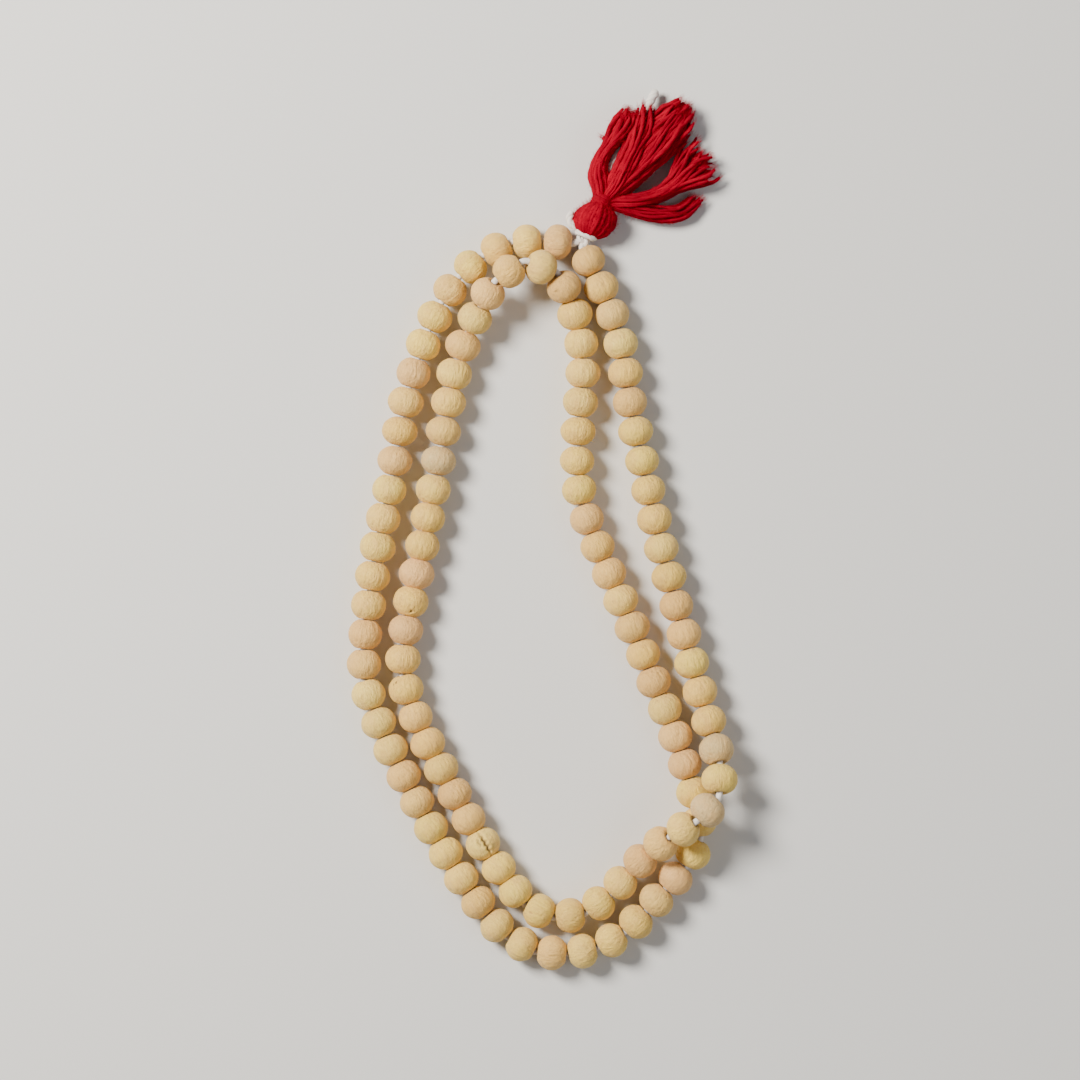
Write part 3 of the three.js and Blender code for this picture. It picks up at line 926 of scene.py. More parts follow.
# ---- beads that differ from their neighbours, by strand and place along it ----
NOTED: dict[tuple[str, int], BeadForm] = {
    ("lower_inner", 14): BeadForm(CREAM, blemishes=CRACK, **FINE),
    ("lower_inner", 5): BeadForm(HONEY, blemishes=PIT, **FINE),
    ("lower_inner", 8): BeadForm(HONEY, blemishes=CHIPS, **FINE),
    ("upper_inner", 5): BeadForm(TAN, blemishes=PIP, **FINE),
    ("fold_inner_left", 2): BeadForm(GREYISH, flat=FREE_FLAT, splinters=((2.8, 0.0004),)),
    ("fold_inner_right", 1): BeadForm(HONEY, flat=FREE_FLAT, splinters=((2.8, 0.0016), (2.6, 0.0021))),
    ("upper_inner", 2): BeadForm(CREAM, splinters=((2.8, -0.0002),)),
    ("lower_inner", 24): BeadForm(GREYISH, radius=0.00412),
    ("lower_right", 11): BeadForm(YELLOW, radius=0.00412),
    ("lower_right", 10): BeadForm(GREYISH),
    ("lower_outer", 28): BeadForm(PINKISH, radius=0.0039),
}


@dataclass
class Bead:
    """One turned bead with its bore.

    Attributes:
        place: Where it sits.
        form: How it differs from the next.
        seed: The source of its smaller differences.
        mouth: The bore's radius at its mouth.
        bore: The bore's radius inside.
        longest: The most that it reaches to each side of its middle.
        clearance: How far it stays from the next bead's share of the cord.
    """

    place: BeadPlace
    form: BeadForm
    seed: int
    mouth: float = 0.00128
    bore: float = 0.00098
    longest: float = 0.00325
    clearance: float = 0.00003

    def build(self, name: str, finishes: Finishes) -> bpy.types.Object:
        """Makes the bead.

        The outline is a full ellipse: radius over the largest radius, to the power of the fullness, plus
        height over the half height, to the same power, is one. It is cut flat where the next bead
        presses on it, and runs back through the bore.

        Args:
            name: The piece's name.
            finishes: The object's finishes.

        Returns:
            The bead, riding on its body.
        """
        rng = np.random.default_rng(self.seed)
        form = self.form
        half = min(self.place.room - self.clearance, self.longest) * rng.uniform(0.975, 1.0)
        height = half / (1 - (form.flat / form.radius) ** form.fullness) ** (1 / form.fullness)
        top = math.asin((half / height) ** (form.fullness / 2))
        turn = np.linspace(-top, top, form.rows)
        radius = form.radius * np.cos(turn) ** (2 / form.fullness)
        level = height * np.sign(turn) * np.abs(np.sin(turn)) ** (2 / form.fullness)
        ends = half + np.array([0.00003, 0.00001, -0.00016, -0.0007])
        rims = np.array([form.flat - 0.00025, self.mouth, self.bore + 0.00010, self.bore])
        inner = np.concatenate([ends, [0.0], -ends[::-1]])
        walls = np.concatenate([rims, [self.bore], rims[::-1]])
        angle = np.linspace(0, 2 * math.pi, form.around, endpoint=False)[None, :]
        outside, mark = self._outside(rng, radius[:, None], level[:, None], angle)
        spokes = np.vstack([outside, np.broadcast_to(walls[:, None], (len(walls), form.around))])
        levels = np.broadcast_to(np.concatenate([level, inner])[:, None], spokes.shape)
        local = np.stack([spokes * np.cos(angle), levels, spokes * np.sin(angle)], axis=-1).reshape(-1, 3)
        marks = np.concatenate([mark.ravel(), np.full(walls.size * form.around, 0.25)])
        skin = Skin()
        base = np.array(form.tint) * rng.uniform(0.93, 1.07) * (1 + rng.normal(0, 0.015, 3))
        shift = rng.uniform(-40, 40, 3)
        turned = self._aligned(rng)
        faces = grid_faces(len(spokes), form.around, joined=True)[:, ::-1]
        skin.add(
            self.place.at + local @ turned,
            faces,
            grain=local * 1000 + shift,
            tint=np.tile(np.clip(base, 0, 1), (len(local), 1)),
            mark=np.clip(marks, 0, 1),
        )
        for splinter in form.splinters:
            self._splinter(skin, turned, splinter, base, shift, rng)
        piece = skin.piece(name, finishes.wood)
        return settle(piece, Slot.WOOD, self.place.body, self.place.node)

    def _outside(self, rng: Random, radius: Array, level: Array, angle: Array) -> tuple[Array, Array]:
        """The outer surface.

        The outline's radius is changed by waves of two and of three to a turn, by a slow wave along the
        bead, by a fine one that winds round it, and by dents. Each blemish takes away a bell curve across
        and along the surface.

        Args:
            rng: The source of the bead's differences.
            radius: The outline's radius at each ring.
            level: The place of each ring along the bore.
            angle: The angle of each point of a ring.

        Returns:
            The radius at each point, and how dark the point is.
        """
        oval = 0.008 * np.cos(2 * angle + any_start(rng)) + 0.005 * np.cos(3 * angle + any_start(rng))
        swell = 0.006 * np.sin(level * 900 + any_start(rng)) * np.cos(angle + any_start(rng))
        facets = 0.0022 * np.cos(5 * angle + level * 1900 + any_start(rng))
        out = radius * (1 + oval + swell + facets) + self._dents(rng, radius, level, angle)
        mark = np.zeros(out.shape)
        for flaw in self.form.blemishes:
            across = np.angle(np.exp(1j * (angle - flaw.angle))) * radius + 0.00012 * np.sin(level * 5200)
            bell = np.exp(-((across / flaw.width) ** 2) - np.abs((level - flaw.place) / flaw.length) ** 3)
            out = out - flaw.depth * bell
            mark = np.maximum(mark, flaw.dark * np.clip(1.7 * bell - 0.55, 0, 1))
        return out, mark

    @staticmethod
    def _dents(rng: Random, radius: Array, level: Array, angle: Array) -> Array:
        """Shallow dents: the sum of fourteen waves in random directions, mostly across the bore.

        Args:
            rng: The source of the waves.
            radius: The outline's radius at each ring.
            level: The place of each ring along the bore.
            angle: The angle of each point of a ring.

        Returns:
            How far each point is moved outwards.
        """
        across, upright = radius * np.cos(angle), radius * np.sin(angle)
        total = np.zeros(across.shape)
        for _ in range(14):
            turn, start, wave = rng.uniform(0, 2 * math.pi, 2).tolist() + [rng.uniform(0.0011, 0.0026)]
            place = across * math.cos(turn) + upright * math.sin(turn) + level * rng.uniform(-0.4, 0.4)
            total = total + wave * 0.0048 * np.sin(2 * math.pi * place / wave + start)
        return total

    def _aligned(self, rng: Random) -> Array:
        """The bead's own three directions: across, along the bore and up, turned at random round the bore.

        A bead with a flaw isn't turned, so that its flaw shows.

        Args:
            rng: The source of the turn.

        Returns:
            The three directions as rows.
        """
        along = unit(self.place.along)
        across = unit(np.cross(along, UPRIGHT))
        rows = np.stack([across, along, np.cross(across, along)])
        if self.form.blemishes or self.form.splinters:
            return rows
        spin = rng.uniform(0, 2 * math.pi)
        cos, sin = math.cos(spin), math.sin(spin)
        return np.stack([cos * rows[0] + sin * rows[2], rows[1], -sin * rows[0] + cos * rows[2]])

    def _splinter(
        self, skin: Skin, turned: Array, splinter: tuple[float, float], base: Array, shift: Array, rng: Random
    ) -> None:
        """Adds a loose sliver of wood: a thin three-sided spike that leaves the surface at a slant.

        Args:
            skin: Where the sliver goes.
            turned: The bead's own three directions as rows.
            splinter: The sliver's angle round the bead and its place along the bore.
            base: The bead's colour.
            shift: The place of the bead's pattern.
            rng: The source of its slant.
        """
        side, rise = splinter
        depth, length, thickness = 0.0033, 0.0016, 0.00009
        out = np.array([math.cos(side), 0.25 * np.sign(rise), math.sin(side)])
        root = np.array([math.cos(side) * depth, rise, math.sin(side) * depth])
        tip = root + unit(out + rng.normal(0, 0.15, 3)) * length
        star = np.stack([np.array([math.cos(a), math.sin(a), 0.3]) for a in (0.0, 2.1, 4.2)]) * thickness
        local = np.vstack([root + star, tip])
        faces = np.array([(0, 1, 2, -1), (0, 3, 1, -1), (1, 3, 2, -1), (2, 3, 0, -1)])
        grain, tint = local * 1000 + shift, np.tile(base, (4, 1))
        skin.add(self.place.at + local @ turned, faces, grain=grain, tint=tint, mark=np.zeros(4))


@dataclass
class Folds:
    """The rows of beads between the folds, and the cord that crosses each fold.

    Attributes:
        spare: How much of its room a bead leaves free at each end.
        blend: Half the length of cord about a crossing's middle, whose two ends are handed to bridge.
        ends: Where each run of cord meets the upper and the lower fold.
    """

    spare: float = 0.00014
    blend: float = 0.0004
    ends: dict[str, tuple[tuple[float, float, float], tuple[float, float, float]]] = field(
        default_factory=lambda: {
            "outer_left": (UPPER_LEFT[-1], LOWER_OUTER[0]),
            "inner_left": (UPPER_INNER[-1], LOWER_INNER[0]),
            "inner_right": (UPPER_INNER[0], LOWER_OUTER[-1]),
            "outer_right": (UPPER_RIGHT[-1], LOWER_RIGHT[0]),
        }
    )

    def places(self) -> dict[str, list[BeadPlace]]:
        """The two beads on each of the four runs of cord: a quarter and three quarters of the way.

        Returns:
            The beads' places from the upper fold down, by run.
        """
        found: dict[str, list[BeadPlace]] = {}
        for side, (upper, lower) in self.ends.items():
            top, bottom = np.array(upper) + REST, np.array(lower) + REST
            way = bottom - top
            half = np.linalg.norm(way) / 4
            names = [f"fold_{row}_bead_{side}" for row in ("upper", "lower")]
            found[side] = [
                BeadPlace(top + way * share, unit(way), half - self.spare, name, name)
                for share, name in zip((0.25, 0.75), names)
            ]
        return found

    def cords(self, strands: dict[str, Strand], finishes: Finishes) -> None:
        """Makes the short cords that cross the folds, each from the middle of one bead to the next's.

        Each follows a straight line between the two bores.

        Args:
            strands: The strands, by name.
            finishes: The object's finishes.
        """
        neighbours = {
            "outer_left": (strands["upper_left"].beads[0], strands["lower_outer"].beads[0]),
            "inner_left": (strands["upper_inner"].beads[-1], strands["lower_inner"].beads[0]),
            "inner_right": (strands["upper_inner"].beads[0], strands["lower_outer"].beads[-1]),
            "outer_right": (strands["upper_right"].beads[0], strands["lower_right"].beads[0]),
        }
        crossings = (
            ("upper", ("upper", "row_upper"), ("upper",)),
            ("middle", ("row_upper", "row_lower"), ("upper", "lower")),
            ("lower", ("row_lower", "lower"), ("lower",)),
        )
        for side, row in self.places().items():
            first, last = neighbours[side]
            stops = [first.at, row[0].at, row[1].at, last.at]
            for k, (label, bodies, rows) in enumerate(crossings):
                start, end = stops[k], stops[k + 1]
                skin = Skin()
                line = evenly(np.stack([start, end]), COTTON_PLY.step)
                COTTON_PLY.sweep(skin, line, CORD_RADIUS, 0.4 * k, UPRIGHT, 0.4)
                piece = skin.piece(f"fold_cord_{label}_{side}", finishes.cotton)
                nodes = [f"fold_{name}_cord_{side}" for name in rows]
                middle, way = (start + end) / 2, unit(end - start) * self.blend
                bridge(piece, Slot.COTTON, bodies, middle - way, middle + way, *nodes)


@dataclass
class String:
    """The whole string: its strands, their beads and the cord inside them."""

    strands: dict[str, Strand] = field(
        default_factory=lambda: {
            s.name: s
            for s in (
                Strand("upper_left", UPPER_LEFT, (4, 4, 1), "upper", reverse=True),
                Strand("upper_right", UPPER_RIGHT, (4, 1, 1), "upper", reverse=True),
                Strand("upper_inner", UPPER_INNER, (4, 1, 1, 1, 1, 4), "upper"),
                Strand("lower_outer", LOWER_OUTER, (7, 1, 7, 1, 7, 1, 7, 1, 6), "lower"),
                Strand("lower_inner", LOWER_INNER, (8, 1, 6, 1, 8), "lower"),
                Strand("lower_right", LOWER_RIGHT, (5, 6), "lower"),
            )
        }
    )
    folds: Folds = field(default_factory=Folds)

    def beads(self, finishes: Finishes) -> None:
        """Makes every bead, in order along the strands and then along the folds' runs.

        A bead's colour is a mix of two woods, and one at a fold or beside the knot has smaller flats.

        Args:
            finishes: The object's finishes.
        """
        rng = np.random.default_rng(108)
        rows = {name: strand.beads for name, strand in self.strands.items()}
        rows |= {f"fold_{side}": row for side, row in self.folds.places().items()}
        places = [(name, k, place) for name, row in rows.items() for k, place in enumerate(row, 1)]
        for n, (name, k, place) in enumerate(places):
            tint = np.array(PALETTE[rng.integers(len(PALETTE))])
            other = np.array(PALETTE[rng.integers(len(PALETTE))])
            mixed = tuple(tint + (other - tint) * rng.uniform(0, 0.5))
            free_end = name.startswith("fold_") or (name, k) in (("upper_left", 9), ("upper_right", 6))
            flat = FREE_FLAT if free_end else PRESSED_FLAT
            radius, fullness = rng.normal(0.00398, 0.00005), rng.uniform(1.98, 2.12)
            form = NOTED.get((name, k), BeadForm(mixed, radius, fullness, flat))
            Bead(place, form, seed=1000 + n).build(f"bead_{name}_{k:02d}", finishes)
        logger.info("%d beads", len(places))

    def cords(self, finishes: Finishes) -> None:
        """Makes the cord inside each run of beads, smooth from bore to bore, and those across the folds.

        Args:
            finishes: The object's finishes.
        """
        lines = {name: self._line(strand) for name, strand in self.strands.items()}
        meeting = [self.strands[name].corners[-1] for name in ("lower_inner", "lower_right")]
        lines["lower_inner"] = np.vstack([lines["lower_inner"], *meeting, lines["lower_right"][::-1]])
        for name in ("lower_outer", "lower_inner", "upper_inner", "upper_left", "upper_right"):
            skin = Skin()
            smooth = evenly(smooth_line(lines[name], 12), 0.0007)
            COTTON_PLY.sweep(skin, smooth, CORD_RADIUS, 0.0, UPRIGHT, 0.5)
            piece = skin.piece(f"cord_{name}_twisted", finishes.cotton)
            settle(piece, Slot.COTTON, self.strands[name].body, f"cord_{name}")
        self.folds.cords(self.strands, finishes)

    @staticmethod
    def _line(strand: Strand) -> Array:
        """The cord's points: each bead's middle and each corner between two beads, then the knot's face.

        Args:
            strand: The strand whose cord it is.

        Returns:
            The points, one row each.
        """
        middles = np.stack([b.at for b in strand.beads])
        points = np.empty((2 * len(middles) - 1, 3))
        points[::2] = middles
        points[1::2] = strand.corners[1:-1]
        if strand.name in ("upper_left", "upper_right"):
            end = strand.corners[-1]
            points = np.vstack([points, end, KNOT_AT + unit(end - KNOT_AT) * KNOT_REACH])
        return points


# ---------------------------------------------------------------------------------------------
# Tassel
# ---------------------------------------------------------------------------------------------


def on_tassel(along: float, across: float = 0.0, up: float = 0.0) -> Array:
    """A place beside the tassel's axis: the foot's place plus a length in each of three directions."""
    return FOOT_AT + TASSEL_ALONG * along + TASSEL_RIGHT * across + UPRIGHT * up


def wound(middle: Array, radius: tuple[float, float], turns: float, length: float, start: float) -> Array:
    """A winding about the tassel's axis: an oval that moves along the axis as it turns.

    Args:
        middle: The winding's middle.
        radius: Two radii, across the axis and upright.
        turns: How many turns.
        length: How far the first turn is from the last.
        start: The angle it starts at.

    Returns:
        The winding's line.
    """
    angle = np.linspace(0, 2 * math.pi * turns, int(40 * turns))
    across = unit(np.cross(TASSEL_ALONG, UPRIGHT))
    up = np.cross(across, TASSEL_ALONG)
    sideways = np.cos(angle + start)[:, None] * across * radius[0]
    upwards = np.sin(angle + start)[:, None] * up * radius[1]
    onwards = TASSEL_ALONG * (np.linspace(-0.5, 0.5, len(angle)) * length)[:, None]
    return evenly(middle + (sideways + upwards) + onwards, FINE_STEP)


def side_reference(line: Array) -> Array:
    """A direction for each point of a line that is never along it: away from the line's middle."""
    return unit(line - line.mean(axis=0) + np.array((1e-5, 2e-5, 3e-5)))


def fray(skin: Skin, rng: Random, line: Array, spread: float, count: int) -> None:
    """Adds a brush of loose cotton fibres at a cord's cut end.

    Args:
        skin: Where the fibres go.
        rng: The source of their differences.
        line: The cord's line, whose last point is the end.
        spread: How wide the brush is.
        count: How many fibres it has.
    """
    way = unit(line[-1] - line[-3])
    roots = Roots()
    at = line[-1] + rng.normal(0, spread * 0.45, (count, 3)) - way * 0.0002
    roots.add(at, unit(way + rng.normal(0, 0.5, (count, 3))), way)
    COTTON_FUZZ.grow(skin, rng, roots, 0.1)


@dataclass(frozen=True)
class Lock:
    """One lock of the fringe.

    A yarn keeps its place in the lock's oval section, which is laid out like the seeds of a sunflower,
    wanders a little to either side, and ends at the lock's own end or short of it.

    Attributes:
        name: The piece's name.
        body: The frame body it rides on.
        node: The frame node it stands for.
        lie: The points its middle follows.
        widths: Its width at even places along it.
        heights: Its height at even places along it.
        yarns: How many yarns it has.
        seed: The source of its differences.
        thickness: How thick a yarn is.
        fuzz: How many loose fibres it has.
        shortest: The shortest yarn, as a share of the lock's length.
        crosses_neck: Whether it crosses the neck, from the tassel to its own body.
    """

    name: str
    body: str
    node: str
    lie: Points
    widths: tuple[float, ...]
    heights: tuple[float, ...]
    yarns: int
    seed: int
    thickness: float = 0.0010
    fuzz: int = 900
    shortest: float = 0.86
    crosses_neck: bool = False

    def _half(self, sizes: tuple[float, ...], share: Array) -> Array:
        """Half the room between the outermost yarns' middles, at each share of the length."""
        return np.interp(share, np.linspace(0, 1, len(sizes)), sizes) / 2 - self.thickness / 2

    def build(self, finishes: Finishes) -> None:
        """Makes the lock, and attaches it to its body unless it crosses the neck.

        A yarn's place across the lock is its seed's place plus a slow wave that grows along the lock. Its
        radius rises from the neck, holds, and falls at the end.

        Args:
            finishes: The object's finishes.
        """
        rng = np.random.default_rng(self.seed)
        middle = evenly(smooth_line(np.array(self.lie), 40), YARN_PLY.step)
        share = distances(middle) / distances(middle)[-1]
        across, up, _ = ring_axes(middle, UPRIGHT)
        width, height = self._half(self.widths, share), self._half(self.heights, share)
        skin, roots = Skin(), Roots()
        for k in range(self.yarns):
            rank = math.sqrt((k + 0.5) / self.yarns)
            angle = k * GOLDEN_ANGLE + self.seed
            end = rng.uniform(self.shortest, 1.0)
            kept = share <= end
            run = share[kept]
            sway = 0.16 * np.sin(run * rng.uniform(5, 11) + any_start(rng))
            drift = 0.14 * np.sin(run * rng.uniform(4, 9) + any_start(rng))
            left = (rank * math.cos(angle) + sway * run * 1.6) * width[kept]
            rise = (rank * math.sin(angle) + drift * run * 1.6) * height[kept]
            line = middle[kept] + across[kept] * left[:, None] + up[kept] * rise[:, None]
            size = self.thickness / 2 * rng.uniform(0.82, 1.16)
            radius = size * np.interp(run / end, (0, 0.12, 0.5, 0.94, 1.0), (0.55, 0.8, 1.0, 0.94, 0.5))
            radius = radius * (1 + 0.07 * np.sin(run * 60 + any_start(rng)))
            line[:, 2] = np.maximum(line[:, 2], radius + FLOOR_CLEARANCE)
            YARN_PLY.sweep(skin, line, radius, any_start(rng), UPRIGHT, rng.uniform(0, 1))
            self._fibres(roots, rng, line, radius)
        WOOL_FUZZ.grow(skin, rng, roots, 0.3)
        piece = skin.piece(self.name, finishes.wool)
        if self.crosses_neck:
            start, end = middle[np.searchsorted(share, 0.06)], middle[np.searchsorted(share, 0.26)]
            bridge(piece, Slot.WOOL, ("tassel", self.body), start, end, self.node)
        else:
            settle(piece, Slot.WOOL, self.body, self.node)

    def _fibres(self, roots: Roots, rng: Random, line: Array, radius: Array, tuft: int = 14) -> None:
        """Adds the roots of one yarn's fibres: some all round it past the neck, and a tuft at its end.

        Args:
            roots: Where the roots go.
            rng: The source of their differences.
            line: The yarn's line.
            radius: The yarn's radius at each point of the line.
            tuft: How many fibres the end has.
        """
        picked = rng.integers(int(len(line) * 0.12), len(line), max(self.fuzz // self.yarns, 4))
        side, top, way = ring_axes(line, UPRIGHT)
        turn = rng.uniform(0, 2 * math.pi, (len(picked), 1))
        out = side[picked] * np.cos(turn) + top[picked] * np.sin(turn)
        roots.add(line[picked] + out * radius[picked, None] * 0.9, out, way[picked])
        spray = unit(way[-1] + rng.normal(0, 0.35, (tuft, 3)))
        roots.add(line[-1] + rng.normal(0, 0.00025, (tuft, 3)), spray, way[-1])


# ---- the locks of the fringe; lengths in metres, places as x, y and height above the table ----
LOCKS = (
    Lock(
        name="lock_left",
        body="tassel",
        node="fringe_left",
        lie=(
            (0.0132, 0.0745, 0.0045), (0.0137, 0.0766, 0.0046), (0.0136, 0.0793, 0.0050),
            (0.0131, 0.0828, 0.0052), (0.0141, 0.0863, 0.0051), (0.0165, 0.0897, 0.0047),
            (0.0189, 0.0937, 0.0038), (0.0206, 0.0973, 0.0030),
        ),
        widths=(0.0035, 0.0043, 0.0057, 0.0043, 0.0041, 0.0061, 0.0057, 0.0039),
        heights=(0.0035, 0.0041, 0.0059, 0.0073, 0.0075, 0.0067, 0.0055, 0.0043),
        yarns=62,
        seed=21,
        fuzz=2400,
    ),
    Lock(
        name="lock_left_stray",
        body="tassel",
        node="fringe_left",
        lie=((0.0165, 0.0882, 0.0050), (0.0152, 0.0897, 0.0054), (0.0136, 0.0909, 0.0052)),
        widths=(0.0014, 0.0013, 0.0016),
        heights=(0.0012, 0.0012, 0.0012),
        yarns=3,
        seed=5,
        thickness=0.00055,
        fuzz=60,
    ),
    Lock(
        name="lock_under_tail",
        body="tassel",
        node="fringe_left",
        lie=(
            (0.0134, 0.0746, 0.0040), (0.0143, 0.0768, 0.0034), (0.0150, 0.0798, 0.0028),
            (0.0159, 0.0835, 0.0025), (0.0176, 0.0872, 0.0024), (0.0197, 0.0908, 0.0023),
            (0.0216, 0.0940, 0.0022),
        ),
        widths=(0.0033, 0.0045, 0.0057, 0.0063, 0.0065, 0.0061, 0.0051),
        heights=(0.0033, 0.0037, 0.0039, 0.0039, 0.0039, 0.0037, 0.0035),
        yarns=26,
        seed=8,
        thickness=0.0011,
        fuzz=500,
    ),
    Lock(
        name="lock_crown",
        body="tassel",
        node="fringe_crown",
        lie=(
            (0.0134, 0.0745, 0.0045), (0.0146, 0.0766, 0.0047), (0.0167, 0.0793, 0.0052),
            (0.0185, 0.0825, 0.0054), (0.0202, 0.0860, 0.0054), (0.0218, 0.0898, 0.0048),
            (0.0234, 0.0940, 0.0040), (0.0243, 0.0984, 0.0030),
        ),
        widths=(0.0036, 0.0044, 0.0060, 0.0062, 0.0058, 0.0074, 0.0058, 0.0040),
        heights=(0.0036, 0.0042, 0.0060, 0.0074, 0.0076, 0.0068, 0.0056, 0.0044),
        yarns=66,
        seed=34,
        fuzz=2400,
    ),
    Lock(
        name="lock_upper",
        body="fringe_upper",
        node="fringe_upper",
        lie=(
            (0.0137, 0.0750, 0.0045), (0.0150, 0.0767, 0.0046), (0.0175, 0.0793, 0.0048),
            (0.0208, 0.0831, 0.0047), (0.0242, 0.0873, 0.0045), (0.0276, 0.0915, 0.0041),
            (0.0307, 0.0951, 0.0036), (0.0337, 0.0984, 0.0028),
        ),
        widths=(0.0037, 0.0043, 0.0063, 0.0081, 0.0093, 0.0097, 0.0087, 0.0057),
        heights=(0.0037, 0.0043, 0.0057, 0.0069, 0.0075, 0.0073, 0.0067, 0.0053),
        yarns=84,
        seed=55,
        thickness=0.00105,
        fuzz=2600,
        crosses_neck=True,
    ),
    Lock(
        name="lock_upper_edge",
        body="fringe_upper",
        node="fringe_upper",
        lie=(
            (0.0138, 0.0750, 0.0045), (0.0152, 0.0766, 0.0045), (0.0188, 0.0790, 0.0044),
            (0.0222, 0.0821, 0.0042), (0.0256, 0.0854, 0.0039), (0.0293, 0.0888, 0.0035),
            (0.0329, 0.0916, 0.0030),
        ),
        widths=(0.0029, 0.0033, 0.0041, 0.0045, 0.0045, 0.0043, 0.0035),
        heights=(0.0029, 0.0033, 0.0045, 0.0051, 0.0051, 0.0045, 0.0037),
        yarns=22,
        seed=3,
        thickness=0.0009,
        shortest=0.88,
        crosses_neck=True,
    ),
    Lock(
        name="lock_right",
        body="fringe_right",
        node="fringe_right",
        lie=(
            (0.0138, 0.0750, 0.0044), (0.0152, 0.0761, 0.0044), (0.0188, 0.0763, 0.0043),
            (0.0226, 0.0766, 0.0041), (0.0267, 0.0778, 0.0038), (0.0306, 0.0802, 0.0035),
            (0.0339, 0.0831, 0.0032), (0.0366, 0.0855, 0.0028), (0.0389, 0.0870, 0.0024),
        ),
        widths=(0.0032, 0.0036, 0.0036, 0.0036, 0.0040, 0.0050, 0.0078, 0.0112, 0.0138),
        heights=(0.0032, 0.0038, 0.0052, 0.0062, 0.0062, 0.0060, 0.0056, 0.0050, 0.0042),
        yarns=58,
        seed=89,
        thickness=0.0009,
        fuzz=2200,
        shortest=0.84,
        crosses_neck=True,
    ),
    Lock(
        name="lock_lower",
        body="fringe_lower",
        node="fringe_lower",
        lie=(
            (0.0138, 0.0749, 0.0043), (0.0152, 0.0757, 0.0042), (0.0184, 0.0749, 0.0038),
            (0.0226, 0.0740, 0.0034), (0.0270, 0.0735, 0.0029), (0.0316, 0.0738, 0.0023),
            (0.0341, 0.0753, 0.0019), (0.0366, 0.0777, 0.0015),
        ),
        widths=(0.0024, 0.0028, 0.0036, 0.0044, 0.0044, 0.0040, 0.0040, 0.0044),
        heights=(0.0024, 0.0028, 0.0036, 0.0040, 0.0038, 0.0034, 0.0030, 0.0026),
        yarns=20,
        seed=13,
        thickness=0.00075,
        shortest=0.84,
        crosses_neck=True,
    ),
)


